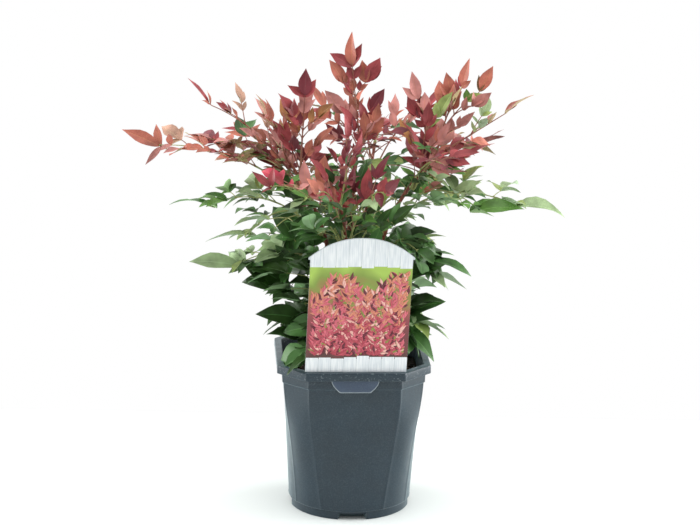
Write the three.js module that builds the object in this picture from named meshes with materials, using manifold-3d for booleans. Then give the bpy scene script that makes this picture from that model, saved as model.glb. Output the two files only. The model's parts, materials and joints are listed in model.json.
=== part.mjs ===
// Heavenly bamboo (nandina) in its nursery pot, in millimetres, +Z up.
// The origin is the centre of the pot's flat underside. The front, with the label, faces -Y.
import * as THREE from "three";
import { mergeVertices } from "three/addons/utils/BufferGeometryUtils.js";
import Module from "manifold-3d";

const wasm = await Module();
wasm.setup();

const DEGREE = Math.PI / 180;
const CLEARANCE = 0.3; // between neighbours that touch on the real plant

// ---------------------------------------------------------------- driving sizes
const POT = {
  height: 173,
  turn: 3.5 * DEGREE, // the pot stands a little turned to the front
  wall: 2,
  floor: 3.5,
  footHeight: 10,
  footRadius: 66.4,
  lipHeight: 9,
  lipReach: 6.6, // how far the lip stands out of the collar
  lipThickness: 1.8,
  collarHeight: 12,
  collarStep: 1.6,
  notch: { width: 28, height: 7.3, depth: 12 },
};
// The body's section at four heights: the panels' distance and half-width, the corners' radius,
// and the distance of the flats across the corners.
const POT_SECTIONS = [
  { z: 10, panel: 67.4, half: 33, corner: 69.6, flat: 76 },
  { z: 60, panel: 69.2, half: 40.5, corner: 77.5, flat: 80.8 },
  { z: 112, panel: 71.6, half: 49.5, corner: 86.8, flat: 86.2 },
  { z: 173, panel: 75, half: 50.5, corner: 90.2, flat: 88.6 },
];
const SOIL = { top: 151, mound: 3, gap: 1.7 };
const LABEL = {
  width: 109,
  side: 127, // height of the straight sides
  arch: 22, // rise of the arched top over its shoulders
  ear: 2, // how far the shoulders stand out of the sides
  thickness: 0.8,
  lean: 0.03, // to the right, in mm for each mm of height
  tip: 0.08, // to the front, likewise
  tailWidth: 26,
  tailLength: 15,
};
const POCKET = { top: 51, bottom: 34, height: 14, depth: 4.4 };

// Each cane bends from its foot in the soil towards a knee and on to its tip.
const CANES = {
  main_stem: { foot: [2, 6], knee: [-12, 4, 300], tip: [4, 8, 408], radii: [4.8, 1.7] },
  right_stem: { foot: [15, 2], knee: [8, 2, 330], tip: [98, 4, 400], radii: [3.2, 1.4] },
  left_stem: { foot: [-15, 4], knee: [-10, 0, 300], tip: [-70, -4, 385], radii: [3.2, 1.4] },
  back_stem: { foot: [8, 22], knee: [8, 30, 300], tip: [22, 92, 388], radii: [3.2, 1.4] },
  front_stem: { foot: [-3, -14], knee: [0, -18, 270], tip: [-14, -66, 352], radii: [2.8, 1.3] },
};
const CANE_SIDES = 6;
const CANE_STEPS = 7;

// The compound leaves stand in tiers. Each row is one leaf: the azimuth (0 is right, 90 back),
// the reach and the height of its furthest leaflet's tip.
const TIERS = {
  crest_leaf: {
    colour: 0xb0474a, leaveAt: 0.93, arch: 26, pairs: 2, leaflet: 37, lift: 0.3,
    tips: [[180, 8, 531], [203, 58, 490], [352, 60, 488], [6, 124, 498], [12, 155, 488],
      [98, 84, 474], [305, 44, 462], [142, 66, 470]],
  },
  upper_leaf: {
    colour: 0xa8404a, leaveAt: 0.86, arch: 30, pairs: 2, leaflet: 40, lift: 0.12,
    tips: [[180, 184, 475], [196, 108, 470], [158, 120, 452], [0, 194, 467], [338, 84, 460],
      [264, 81, 457], [48, 150, 452], [112, 150, 448]],
  },
  red_leaf: {
    colour: 0x97323c, leaveAt: 0.76, arch: 42, pairs: 2, leaflet: 40, lift: -0.04,
    tips: [[182, 250, 420], [172, 184, 424], [357, 151, 419], [228, 167, 408], [252, 156, 406],
      [287, 155, 408], [315, 166, 411], [30, 190, 408], [78, 190, 410], [138, 190, 412],
      [268, 112, 445]],
  },
  green_leaf: {
    colour: 0x4f8a3e, leaveAt: 0.6, arch: 48, pairs: 2, leaflet: 47, lift: -0.16,
    tips: [[0, 229, 345], [351, 186, 343], [178, 207, 348], [188, 166, 302], [220, 162, 323],
      [246, 142, 368], [296, 140, 374], [40, 184, 330], [92, 176, 336], [142, 186, 332]],
  },
  low_leaf: {
    colour: 0x2c5a30, leaveAt: 0.42, arch: 38, pairs: 2, leaflet: 48, lift: -0.22,
    tips: [[180, 177, 272], [196, 128, 262], [2, 134, 271], [348, 134, 250], [58, 140, 262],
      [104, 134, 268], [150, 138, 258]],
  },
  rim_leaf: {
    colour: 0x24482b, leaveAt: 0.2, arch: 30, pairs: 1, leaflet: 47, lift: -0.3,
    tips: [[201, 113, 224], [174, 108, 196], [231, 126, 164], [352, 116, 203], [342, 104, 172],
      [62, 116, 206], [118, 114, 200]],
  },
};
const LIGHT = new THREE.Vector3(0.05, -0.45, 0.9).normalize(); // what the blades turn their faces to
const STALK = { base: 1.5, end: 0.95, knee: 3, bend: 0.42 }; // knee: how far it runs off square
// A pair of twigs stands on each node of the stalk. The nodes' distances and the twigs' lengths
// are in leaflets, the angles in radians, and what is loose strays by so much either way.
const TWIG = {
  radius: 0.85, angle: 52 * DEGREE, firstNode: 0.85, nodeStep: 0.95, length: 0.36, growth: 0.16,
  size: 0.94, loose: { angle: 0.2, rise: 0.16, roll: 0.4, size: 0.1 },
};
// Two leaflets stand beside the one at a twig's end, their necks a little way down the twig.
const SIDE = {
  angle: 55 * DEGREE, setBack: 2.4, size: 0.84,
  loose: { angle: 0.14, rise: 0.2, roll: 0.5, pitch: 0.35, size: 0.12 },
};
const BLADE = { widest: 0.42, width: 0.5, thickness: 1.3, fold: 0.5, neck: 0.5, sag: 0.07 };
const SPARE = 0.5; // how far a blade or twig keeps off another leaf
const TIDY = 0.08; // edges of a fused leaf that are shorter are closed up
// Where a piece would touch a neighbour, it is tried in other places and at other slopes.
const TRIES = {
  shifts: [0, 0.035, -0.035, 0.07, -0.07, 0.105, -0.105], // of a stalk's place on its cane
  lifts: [0, 14, -12, 26], // of a stalk's arch
  blades: [0, 0.35, -0.35, 0.7, -0.7],
  twigs: [0, 0.3, -0.3, 0.6, -0.6],
  outer: 0.3, // a blade may touch its own leaf up to this share of its length
};

// ---------------------------------------------------------------- small helpers
/** The k-th random number of a seed, from 0 to 1: the fraction left of a large sine. */
function chance(seed, k) {
  const s = Math.sin(seed * 12.9898 + k * 78.233) * 43758.5453;
  return s - Math.floor(s);
}

/** The same from -size to +size. */
const jitter = (seed, k, size) => (2 * chance(seed, k) - 1) * size;

const vector = (x, y, z) => new THREE.Vector3(x, y, z);

/** A closed triangle mesh from points and faces. */
function closedGeometry(points, faces) {
  const geometry = new THREE.BufferGeometry();
  const flat = points.flatMap((p) => [p.x, p.y, p.z]);
  geometry.setAttribute("position", new THREE.Float32BufferAttribute(flat, 3));
  geometry.setIndex(faces.flat());
  return geometry;
}

/** A stack of rings with as many points each. Caps close it, or the last ring runs to a point. */
function ringStack(rings, tip) {
  const count = rings[0].length;
  const faces = [];
  for (let j = 0; j + 1 < rings.length; j++) {
    for (let i = 0; i < count; i++) {
      const a = j * count + i;
      const b = j * count + ((i + 1) % count);
      faces.push([a, b, b + count], [a, b + count, a + count]);
    }
  }
  const last = (rings.length - 1) * count;
  for (let i = 1; i + 1 < count; i++) faces.push([0, i + 1, i]);
  if (!tip) {
    for (let i = 1; i + 1 < count; i++) faces.push([last, last + i, last + i + 1]);
    return closedGeometry(rings.flat(), faces);
  }
  for (let i = 0; i < count; i++) faces.push([last + i, last + ((i + 1) % count), last + count]);
  return closedGeometry([...rings.flat(), tip], faces);
}

/** One ring of a limb, square to a direction, its first corner up and to the right. */
function limbRing(point, along, face, radius, sides) {
  const side = face.clone().cross(along).normalize();
  const up = along.clone().cross(side);
  return Array.from({ length: sides }, (_, k) => {
    const turn = Math.PI / 6 + (2 * Math.PI * k) / sides;
    return point.clone()
      .addScaledVector(side, radius * Math.cos(turn))
      .addScaledVector(up, radius * Math.sin(turn));
  });
}

/** The rings of a limb along a path, whose radius goes from the first value to the last. */
function limbRings(points, radii, sides, face, start) {
  return points.map((point, i) => {
    const before = points[Math.max(i - 1, 0)];
    const after = points[Math.min(i + 1, points.length - 1)];
    const along = i === 0 && start ? start : after.clone().sub(before).normalize();
    const radius = THREE.MathUtils.lerp(radii[0], radii[1], i / (points.length - 1));
    return limbRing(point, along, face, radius, sides);
  });
}

/** A closed geometry as a solid: only its places count, and shared corners are merged. */
function toSolid(geometry) {
  const bare = geometry.clone();
  bare.deleteAttribute("normal");
  bare.deleteAttribute("uv");
  const merged = mergeVertices(bare, 1e-4);
  return new wasm.Manifold(new wasm.Mesh({
    numProp: 3,
    vertProperties: new Float32Array(merged.attributes.position.array),
    triVerts: new Uint32Array(merged.index.array),
  }));
}

function fromSolid(solid) {
  const { vertProperties, triVerts, numProp } = solid.getMesh();
  const flat = [];
  for (let i = 0; i < vertProperties.length; i += numProp) {
    flat.push(vertProperties[i], vertProperties[i + 1], vertProperties[i + 2]);
  }
  const geometry = new THREE.BufferGeometry();
  geometry.setAttribute("position", new THREE.Float32BufferAttribute(flat, 3));
  geometry.setIndex(Array.from(triVerts));
  return geometry;
}

/** A box in the pot's own directions, as a solid. */
function block(width, depth, height, place, turn) {
  const box = new THREE.BoxGeometry(width, depth, height);
  box.translate(place.x, place.y, place.z);
  box.rotateZ(turn);
  return toSolid(box);
}

// ---------------------------------------------------------------- the pot
/** The section's sizes at a height, between those of the nearest two stated heights. */
function potSection(z, outward) {
  const top = POT_SECTIONS.findIndex((s) => s.z >= z);
  const upper = POT_SECTIONS[top < 0 ? POT_SECTIONS.length - 1 : Math.max(top, 1)];
  const lower = POT_SECTIONS[POT_SECTIONS.indexOf(upper) - 1];
  const share = (z - lower.z) / (upper.z - lower.z);
  const size = (name) => THREE.MathUtils.lerp(lower[name], upper[name], share);
  const corner = size("corner") + outward;
  const half = size("half") * (corner / size("corner"));
  return { panel: size("panel") + outward, half, corner, flat: size("flat") + outward };
}

/** One ring of the pot: four slightly crowned panels, and corners that flats cut across. */
function potRing(z, outward) {
  const { panel, half, corner, flat } = potSection(z, outward);
  const chord = Math.sqrt(corner ** 2 - half ** 2);
  const edge = Math.atan2(half, chord);
  const quarter = [];
  for (const u of [-1, -0.5, 0, 0.5]) {
    quarter.push([half * u, -(chord + (panel - chord) * (1 - u * u))]);
  }
  for (const share of [0, 0.33, 0.67]) {
    const turn = edge + share * (Math.PI / 2 - 2 * edge);
    const radius = Math.min(corner, flat / Math.cos(turn - Math.PI / 4));
    quarter.push([radius * Math.sin(turn), -radius * Math.cos(turn)]);
  }
  return roundTheAxis(quarter, z);
}

/** Four copies of a quarter's points round the pot's axis, at one height. */
function roundTheAxis(quarter, z) {
  return [0, 1, 2, 3].flatMap((q) =>
    quarter.map(([x, y]) =>
      vector(x, y, z).applyAxisAngle(vector(0, 0, 1), (q * Math.PI) / 2 + POT.turn)));
}

/** A round ring with as many points as the pot's own, at the same turns. */
function roundRing(z, radius) {
  return potRing(POT.footHeight, 0).map((p) => vector(p.x, p.y, 0).setLength(radius).setZ(z));
}

function potSolid() {
  const lipLow = POT.height - POT.lipHeight;
  const collarLow = lipLow - POT.collarHeight;
  const lipOut = POT.collarStep + POT.lipReach;
  const under = POT.height - POT.lipThickness;
  const rings = [
    roundRing(0, POT.footRadius),
    roundRing(POT.footHeight, POT.footRadius),
    potRing(POT.footHeight, 0),
    potRing(60, 0),
    potRing(112, 0),
    potRing(collarLow, 0),
    potRing(collarLow + 1, POT.collarStep),
    potRing(under, POT.collarStep),
    potRing(under, lipOut - POT.lipThickness),
    potRing(lipLow, lipOut - POT.lipThickness),
    potRing(lipLow, lipOut),
    potRing(POT.height, lipOut),
    potRing(POT.height, -POT.wall + POT.collarStep),
    potRing(collarLow, -POT.wall),
    potRing(112, -POT.wall),
    potRing(60, -POT.wall),
    potRing(POT.footHeight, -POT.wall),
    roundRing(POT.floor, POT.footRadius - POT.wall - 1),
  ];
  let pot = toSolid(ringStack(rings));
  for (let side = 0; side < 4; side++) {
    const { width, height, depth } = POT.notch;
    const place = vector(0, -POT.footRadius, height / 2 - 1);
    const cut = block(width, depth, height + 2, place, POT.turn + (side * Math.PI) / 2);
    pot = pot.subtract(cut);
  }
  return pot.add(pocketSolid()).subtract(slotSolid());
}

/** The pocket under the lip that holds the label's tail: a trapezoid plate on the collar. */
function pocketSolid() {
  const top = POT.height - POT.lipThickness / 2;
  const low = POT.height - POT.lipHeight - POCKET.height;
  const outline = new THREE.Shape([
    new THREE.Vector2(-POCKET.top / 2, top),
    new THREE.Vector2(-POCKET.bottom / 2 - 3, low + 2),
    new THREE.Vector2(-POCKET.bottom / 2, low),
    new THREE.Vector2(POCKET.bottom / 2, low),
    new THREE.Vector2(POCKET.bottom / 2 + 3, low + 2),
    new THREE.Vector2(POCKET.top / 2, top),
  ]);
  const plate = new THREE.ExtrudeGeometry(outline, { depth: POCKET.depth, bevelEnabled: false });
  plate.rotateX(Math.PI / 2);
  plate.translate(0, -potSection(POT.height, 0).panel - POT.collarStep / 2, 0);
  plate.rotateZ(POT.turn);
  return toSolid(plate);
}

/** Where the label's tail stands: between the collar and the lip's skirt. */
const TAIL_PLACE = {
  y: -(potSection(POT.height, POT.collarStep).panel + 1.4),
  low: POT.height - LABEL.tailLength,
};

function slotSolid() {
  const wide = LABEL.tailWidth + 2 * CLEARANCE + 1;
  const deep = LABEL.thickness + 2 * CLEARANCE + 0.6;
  const high = LABEL.tailLength + 4;
  const place = vector(0, TAIL_PLACE.y, TAIL_PLACE.low - CLEARANCE + high / 2);
  return block(wide, deep, high, place, POT.turn);
}

/** The potting soil, clear of the wall all round, with a low mound in the middle. */
function soilGeometry() {
  const inward = -POT.wall - SOIL.gap;
  const low = POT.floor + CLEARANCE;
  const shrink = (ring, share, z) => ring.map((p) => vector(p.x * share, p.y * share, z));
  const top = potRing(SOIL.top, inward);
  return ringStack([
    roundRing(low, POT.footRadius - POT.wall - 1 - CLEARANCE - 1),
    potRing(POT.footHeight + 1, inward),
    potRing(60, inward),
    potRing(112, inward),
    top,
    shrink(top, 0.42, SOIL.top + SOIL.mound),
  ]);
}

/** The label: an arched plate with eared shoulders, and a tail that stands in the pocket. */
function labelSolid() {
  const half = LABEL.width / 2;
  const foot = POT.height + CLEARANCE;
  const shoulder = foot + LABEL.side;
  const arch = Array.from({ length: 11 }, (_, i) => {
    const u = 1 - i / 5;
    return [u * (half + LABEL.ear), shoulder + LABEL.ear + LABEL.arch * (1 - Math.abs(u) ** 2.2)];
  });
  const corners = [[-half, foot], [half, foot], [half, shoulder], ...arch, [-half, shoulder]];
  const outline = new THREE.Shape(corners.map(([x, z]) => new THREE.Vector2(x, z)));
  const options = { depth: LABEL.thickness, bevelEnabled: false };
  const plate = new THREE.ExtrudeGeometry(outline, options);
  plate.rotateX(Math.PI / 2);
  plate.translate(0, TAIL_PLACE.y + LABEL.thickness / 2, 0);
  const place = plate.attributes.position;
  for (let i = 0; i < place.count; i++) {
    const rise = place.getZ(i) - foot;
    place.setX(i, place.getX(i) + LABEL.lean * rise);
    place.setY(i, place.getY(i) - LABEL.tip * rise);
  }
  plate.rotateZ(POT.turn);
  const high = LABEL.tailLength + 1;
  const middle = vector(0, TAIL_PLACE.y, foot + 1 - high / 2);
  const tail = block(LABEL.tailWidth, LABEL.thickness, high, middle, POT.turn);
  return toSolid(plate).add(tail);
}

// ---------------------------------------------------------------- the canes
function caneCurve({ foot, knee, tip }) {
  const start = vector(foot[0], foot[1], SOIL.top + SOIL.mound + CLEARANCE);
  return new THREE.QuadraticBezierCurve3(start, vector(...knee), vector(...tip));
}

/** The heart, grain and radius of a cane at a share of its length, on its own straight steps. */
function caneAt(cane, place) {
  const points = caneCurve(cane).getPoints(CANE_STEPS);
  const step = Math.min(Math.floor(place * CANE_STEPS), CANE_STEPS - 1);
  const heart = points[step].clone().lerp(points[step + 1], place * CANE_STEPS - step);
  const grain = points[step + 1].clone().sub(points[step]).normalize();
  return { heart, grain, radius: THREE.MathUtils.lerp(...cane.radii, place) };
}

function caneGeometry(cane) {
  const points = caneCurve(cane).getPoints(CANE_STEPS);
  return ringStack(limbRings(points, cane.radii, CANE_SIDES, vector(0, 1, 0), vector(0, 0, 1)));
}

// ---------------------------------------------------------------- the compound leaves
/** The widest ring of a blade, a flat triangle whose keel lies under the rib, and its tip. */
function bladeEnd({ base, along, face, length }, grow) {
  const side = face.clone().cross(along).normalize();
  const up = along.clone().cross(side);
  const half = (length * BLADE.width) / 2 + grow;
  const middle = base.clone().addScaledVector(along, length * BLADE.widest);
  const ring = [
    middle.clone().addScaledVector(side, half).addScaledVector(up, BLADE.fold + grow),
    middle.clone().addScaledVector(side, -half).addScaledVector(up, BLADE.fold + grow),
    middle.clone().addScaledVector(up, BLADE.fold - BLADE.thickness - grow),
  ];
  const tip = base.clone().addScaledVector(along, length + grow)
    .addScaledVector(up, -length * BLADE.sag);
  return { ring, tip };
}

/** A blade on its own neck, which starts at the heart of the twig that carries it. */
function bladeSolid(blade, grow = 0) {
  const neck = limbRing(blade.base, blade.along, blade.face, BLADE.neck + grow, 3);
  const { ring, tip } = bladeEnd(blade, grow);
  return toSolid(ringStack([neck, ring], tip));
}

/** A twig of three sides that runs out into the blade at its end. */
function twigSolid({ path, radii, blade, start }, grow = 0) {
  const swollen = radii.map((radius) => radius + grow);
  const rings = limbRings(path, swollen, 3, blade.face, start);
  const { ring, tip } = bladeEnd(blade, grow);
  return toSolid(ringStack([...rings, ring], tip));
}

/** Each leaf with its tip, and the cane whose tip lies nearest under it. */
function leafRows() {
  const rows = Object.entries(TIERS).flatMap(([name, tier]) =>
    tier.tips.map(([azimuth, reach, height], i) => {
      const angle = azimuth * DEGREE;
      const tip = vector(reach * Math.cos(angle), reach * Math.sin(angle), height);
      const apart = (cane) => Math.hypot(cane.tip[0] - tip.x, cane.tip[1] - tip.y);
      const canes = Object.values(CANES);
      const cane = canes.reduce((best, other) => (apart(other) < apart(best) ? other : best));
      return { name: `${name}_${i + 1}`, tier, tip, cane };
    }));
  for (const cane of Object.values(CANES)) {
    const { grain } = caneAt(cane, 1);
    const inLine = ({ tip }) => tip.clone().sub(vector(...cane.tip)).normalize().dot(grain);
    const own = rows.filter((row) => row.cane === cane);
    own.reduce((best, row) => (inLine(row) > inLine(best) ? row : best)).crown = true;
  }
  return rows;
}

/** The main stalk of a leaf: it leaves its cane square, rises, arches and runs out to its end.
 * The leaf most in line with its cane stands on the cane's tip instead. */
function stalkPath({ tier, tip, cane, crown }, shift, lift) {
  const { heart, grain, radius } = caneAt(cane, crown ? 1 : tier.leaveAt + shift);
  const run = tip.clone().sub(heart);
  const away = crown ? grain : run.addScaledVector(grain, -run.dot(grain)).normalize();
  const start = heart.addScaledVector(away, (crown ? 0 : radius) + CLEARANCE);
  const knee = start.clone().addScaledVector(away, STALK.knee);
  const along = tip.clone().sub(knee).normalize();
  const end = tip.clone().addScaledVector(along, -tier.leaflet);
  const rise = vector(0, 0, crown ? 0 : tier.arch + lift);
  const bend = knee.clone().lerp(end, STALK.bend).add(rise);
  return { start, away, curve: new THREE.QuadraticBezierCurve3(knee, bend, end) };
}

/** The two leaflets beside the one at a twig's end, turned by the seed's own numbers. */
function sideLeaflets({ end, along, face, length, lift, seed }) {
  const { loose } = SIDE;
  const side = face.clone().cross(along).normalize();
  return [1, -1].map((hand, i) => {
    const k = 10 * (i + 1);
    const angle = SIDE.angle + jitter(seed, k, loose.angle);
    const direction = along.clone().multiplyScalar(Math.cos(angle))
      .addScaledVector(side, hand * Math.sin(angle))
      .add(vector(0, 0, lift + jitter(seed, k + 1, loose.rise)))
      .normalize();
    const tilted = face.clone()
      .addScaledVector(side, jitter(seed, k + 2, loose.roll))
      .addScaledVector(along, jitter(seed, k + 3, loose.pitch))
      .normalize();
    const base = end.clone().addScaledVector(along, -SIDE.setBack);
    const size = length * (SIDE.size + jitter(seed, k + 4, loose.size));
    return { base, along: direction, face: tilted, length: size };
  });
}

/** Where pairs of twigs leave the main stalk, as shares of its curve, from the end back. */
function nodeShares(tier, length) {
  const pairs = Math.min(tier.pairs, Math.floor(length / (tier.leaflet * 1.2)));
  const back = (i) => tier.leaflet * (TWIG.firstNode + TWIG.nodeStep * i);
  return Array.from({ length: pairs }, (_, i) => 1 - back(i) / length);
}

/** The twigs to both sides of a leaf's main stalk, each with its three leaflets. */
function pinnae(tier, curve, shares, seed) {
  const { loose } = TWIG;
  return [...shares, ...shares].map((share, n) => {
    const i = n % shares.length;
    const hand = n < shares.length ? 1 : -1;
    const own = seed * 7 + n + 1;
    const forward = curve.getTangent(share);
    const side = LIGHT.clone().cross(forward).normalize();
    const angle = TWIG.angle + jitter(own, 2, loose.angle);
    const along = forward.multiplyScalar(Math.cos(angle))
      .addScaledVector(side, hand * Math.sin(angle))
      .add(vector(0, 0, tier.lift + jitter(own, 3, loose.rise)))
      .normalize();
    const base = curve.getPoint(share);
    const reach = tier.leaflet * (TWIG.length + TWIG.growth * i);
    const end = base.clone().addScaledVector(along, reach);
    const face = LIGHT.clone().addScaledVector(side, jitter(own, 4, loose.roll)).normalize();
    const size = tier.leaflet * (TWIG.size + jitter(own, 5, loose.size));
    const blade = { base: end, along, face, length: size };
    const sides = sideLeaflets({ end, along, face, length: size, lift: tier.lift, seed: own });
    return { path: [base, end], radii: [TWIG.radius, TWIG.radius], blade, sides };
  });
}

/** A whole leaf: its main stalk, the leaflets at its end, and the twigs on both sides. */
function leafPlan(row, seed, shift, lift) {
  const { tier, tip } = row;
  const { start, away, curve } = stalkPath(row, shift, lift);
  const shares = nodeShares(tier, curve.getLength());
  const inner = shares.length ? shares[shares.length - 1] : 1;
  const stations = [0, inner * 0.5, ...shares.toReversed(), 1];
  const path = [start, ...stations.map((share) => curve.getPoint(share))];
  const end = path[path.length - 1];
  const along = tip.clone().sub(end).normalize();
  const blade = { base: end, along, face: LIGHT, length: tier.leaflet };
  const radii = [STALK.base, STALK.end];
  const sides = sideLeaflets({ end, along, face: LIGHT, length: tier.leaflet, lift: 0, seed });
  const twigs = pinnae(tier, curve, shares, seed);
  return { stalk: { path, radii, blade, start: away }, sides, twigs };
}

/** Whether a solid shares any space with one of the others. */
function meets(solid, others) {
  const own = solid.boundingBox();
  return others.some((other) => {
    const box = other.boundingBox();
    const apart = [0, 1, 2].some((i) => own.min[i] > box.max[i] || box.min[i] > own.max[i]);
    return !apart && !solid.intersect(other).isEmpty();
  });
}

/** The outer part of a blade, past the joint where its neighbours' necks meet. */
function outerBlade(blade) {
  const base = blade.base.clone().addScaledVector(blade.along, blade.length * TRIES.outer);
  return bladeSolid({ ...blade, base, length: blade.length * (1 - TRIES.outer) });
}

/** A few ways to hold the same blade, from the first choice on. */
function turnedBlades(blade) {
  return TRIES.blades.map((raise) => {
    const along = blade.along.clone().add(vector(0, 0, raise)).normalize();
    return { ...blade, along };
  });
}

/** The same for a twig with all its leaflets: it swings up or down about its root. */
function turnedTwigs(twig) {
  return TRIES.twigs.map((raise) => {
    const [root, end] = twig.path;
    const turned = (v) => v.clone().add(vector(0, 0, raise)).normalize();
    const along = turned(twig.blade.along);
    const swung = root.clone().addScaledVector(along, root.distanceTo(end));
    const node = swung.clone().addScaledVector(along, -SIDE.setBack);
    const blade = { ...twig.blade, along, base: swung };
    const sides = twig.sides.map((side) => ({ ...side, along: turned(side.along), base: node }));
    return { ...twig, path: [root, swung], blade, sides };
  });
}

/** Fuses a leaf's twigs and leaflets on its stalk, without those that would touch a neighbour. */
function growLeaf(plan, taken) {
  const pieces = [plan.stalk.solid];
  const addBlades = (blades) => {
    for (const blade of blades) {
      const free = turnedBlades(blade).find((turned) =>
        !meets(bladeSolid(turned, SPARE), taken) && !meets(outerBlade(turned), pieces));
      if (free) pieces.push(bladeSolid(free));
    }
  };
  addBlades(plan.sides);
  for (const twig of plan.twigs) {
    const free = turnedTwigs(twig).find((turned) =>
      !meets(twigSolid(turned, SPARE), taken) && !meets(outerBlade(turned.blade), pieces));
    if (!free) continue;
    pieces.push(twigSolid(free));
    addBlades(free.sides);
  }
  return { solid: wasm.Manifold.union(pieces).asOriginal().simplify(TIDY), pieces };
}

// ---------------------------------------------------------------- the assembly
const plant = new THREE.Group();
plant.name = "potted_heavenly_bamboo";

function addPiece(name, geometry, look) {
  const mesh = new THREE.Mesh(geometry, new THREE.MeshStandardMaterial(look));
  mesh.name = name;
  plant.add(mesh);
  return mesh;
}

const pot = potSolid();
addPiece("pot", fromSolid(pot), { color: 0x4a565e, roughness: 0.5, metalness: 0 });
const soil = soilGeometry();
addPiece("soil", soil, { color: 0x2a221c, roughness: 0.95, metalness: 0 });
const label = labelSolid();
addPiece("label", fromSolid(label), { color: 0xe9edee, roughness: 0.3, metalness: 0 });

const limbs = [];
for (const [name, cane] of Object.entries(CANES)) {
  const geometry = caneGeometry(cane);
  limbs.push(toSolid(geometry));
  addPiece(name, geometry, { color: 0x7a3a2a, roughness: 0.7, metalness: 0 });
}

// The main stalks take their places first, so that no leaflet stands in a later stalk's way.
// Each takes the first of a few places and arches in which it touches nothing.
const WAYS = TRIES.lifts.flatMap((lift) => TRIES.shifts.map((shift) => [shift, lift]));
const taken = [pot, toSolid(soil), label, ...limbs];
const plans = leafRows().map((row, i) => {
  const tries = WAYS.map(([shift, lift]) => () => leafPlan(row, i + 1, shift, lift));
  const clear = (make) => !meets(twigSolid(make().stalk, SPARE / 2), taken);
  const plan = (tries.find(clear) ?? tries[0])();
  plan.stalk.solid = twigSolid(plan.stalk);
  taken.push(plan.stalk.solid);
  return { ...plan, name: row.name, colour: row.tier.colour };
});
for (const plan of plans) {
  const others = taken.filter((solid) => solid !== plan.stalk.solid);
  const { solid, pieces } = growLeaf(plan, others);
  taken.push(...pieces.slice(1));
  addPiece(plan.name, fromSolid(solid), { color: plan.colour, roughness: 0.45, metalness: 0 });
}

export default plant;
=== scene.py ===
"""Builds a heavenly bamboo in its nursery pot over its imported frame.

Sizes are in millimetres and turned to metres where a mesh is made. +Z is up and the front, with the
label, faces -Y. Every shape is an array of rings of points, worked out by a formula.
"""

import json
import math
from collections import namedtuple

import bpy
import numpy as np
from mathutils import Matrix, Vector
from mathutils.bvhtree import BVHTree

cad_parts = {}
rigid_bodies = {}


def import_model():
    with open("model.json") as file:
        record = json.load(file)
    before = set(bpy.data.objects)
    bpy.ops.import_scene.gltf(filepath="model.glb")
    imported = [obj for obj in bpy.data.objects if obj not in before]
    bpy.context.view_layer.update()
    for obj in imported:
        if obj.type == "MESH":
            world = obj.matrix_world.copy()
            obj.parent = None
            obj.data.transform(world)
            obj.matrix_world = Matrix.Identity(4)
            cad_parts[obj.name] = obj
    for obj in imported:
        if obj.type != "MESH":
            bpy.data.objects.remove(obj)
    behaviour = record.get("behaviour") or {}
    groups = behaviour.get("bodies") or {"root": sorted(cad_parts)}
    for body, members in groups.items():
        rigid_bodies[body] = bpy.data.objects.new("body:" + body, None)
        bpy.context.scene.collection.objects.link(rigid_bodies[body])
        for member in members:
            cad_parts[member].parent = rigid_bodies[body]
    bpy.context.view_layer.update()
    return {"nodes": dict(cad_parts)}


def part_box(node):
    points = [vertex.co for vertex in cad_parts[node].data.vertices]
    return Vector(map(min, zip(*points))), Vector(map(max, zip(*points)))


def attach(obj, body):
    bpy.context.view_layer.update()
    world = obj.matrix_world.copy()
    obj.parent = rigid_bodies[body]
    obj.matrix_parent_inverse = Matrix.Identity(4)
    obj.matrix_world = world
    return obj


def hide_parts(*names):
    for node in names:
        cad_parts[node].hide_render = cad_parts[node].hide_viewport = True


bl_info = {
    "name": "Potted heavenly bamboo",
    "version": (1, 0, 0),
    "blender": (4, 5, 0),
    "location": "3D View > Sidebar > Heavenly bamboo",
    "description": "Builds a potted heavenly bamboo over its packed frame",
    "category": "Add Mesh",
}

for leftover in list(bpy.data.objects):
    bpy.data.objects.remove(leftover)
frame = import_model()

MM = 0.001
DEGREE = math.pi / 180
UP = np.array([0.0, 0.0, 1.0])

# ---------------------------------------------------------------- driving sizes
POT_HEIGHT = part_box("pot")[1].z / MM
POT = {
    "turn": 3.5 * DEGREE,
    "wall": 2.0,
    "foot_radius": 66.4,
    "foot_height": 10.0,
    "lip_height": 9.0,
    "lip_reach": 6.6,
    "lip_thickness": 1.8,
    "collar_height": 12.0,
    "collar_step": 1.6,
    "notch_width": 31.0,
    "notch_height": 7.3,
    "notch_depth": 12.0,
    "blend": 0.3,  # how softly a panel runs into its corner
    "rounded_to": 66.0,  # heights up to which the outline is rounded, and from which it is creased
    "creased_from": 150.0,
    "crease": 0.02,  # half width of a crease in radians
    "bead": 0.7,
}
# The wall's section at four heights: the panels' distance and half-width, the corners' radius,
# and the distance of the flats across the corners.
SECTION_HEIGHTS = [10.0, 60.0, 112.0, POT_HEIGHT]
SECTIONS = {
    "panel": [67.4, 70.0, 72.6, 75.0],
    "half": [34.0, 41.0, 47.5, 48.0],
    "corner": [69.6, 77.5, 86.8, 90.2],
    "flat": [76.0, 80.8, 86.2, 88.6],
}
NOTCH_ANGLE = math.asin(POT["notch_width"] / 2 / POT["foot_radius"])
COLLAR_FACE = SECTIONS["panel"][-1] + POT["collar_step"]  # from the pot's axis to a collar panel
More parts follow.
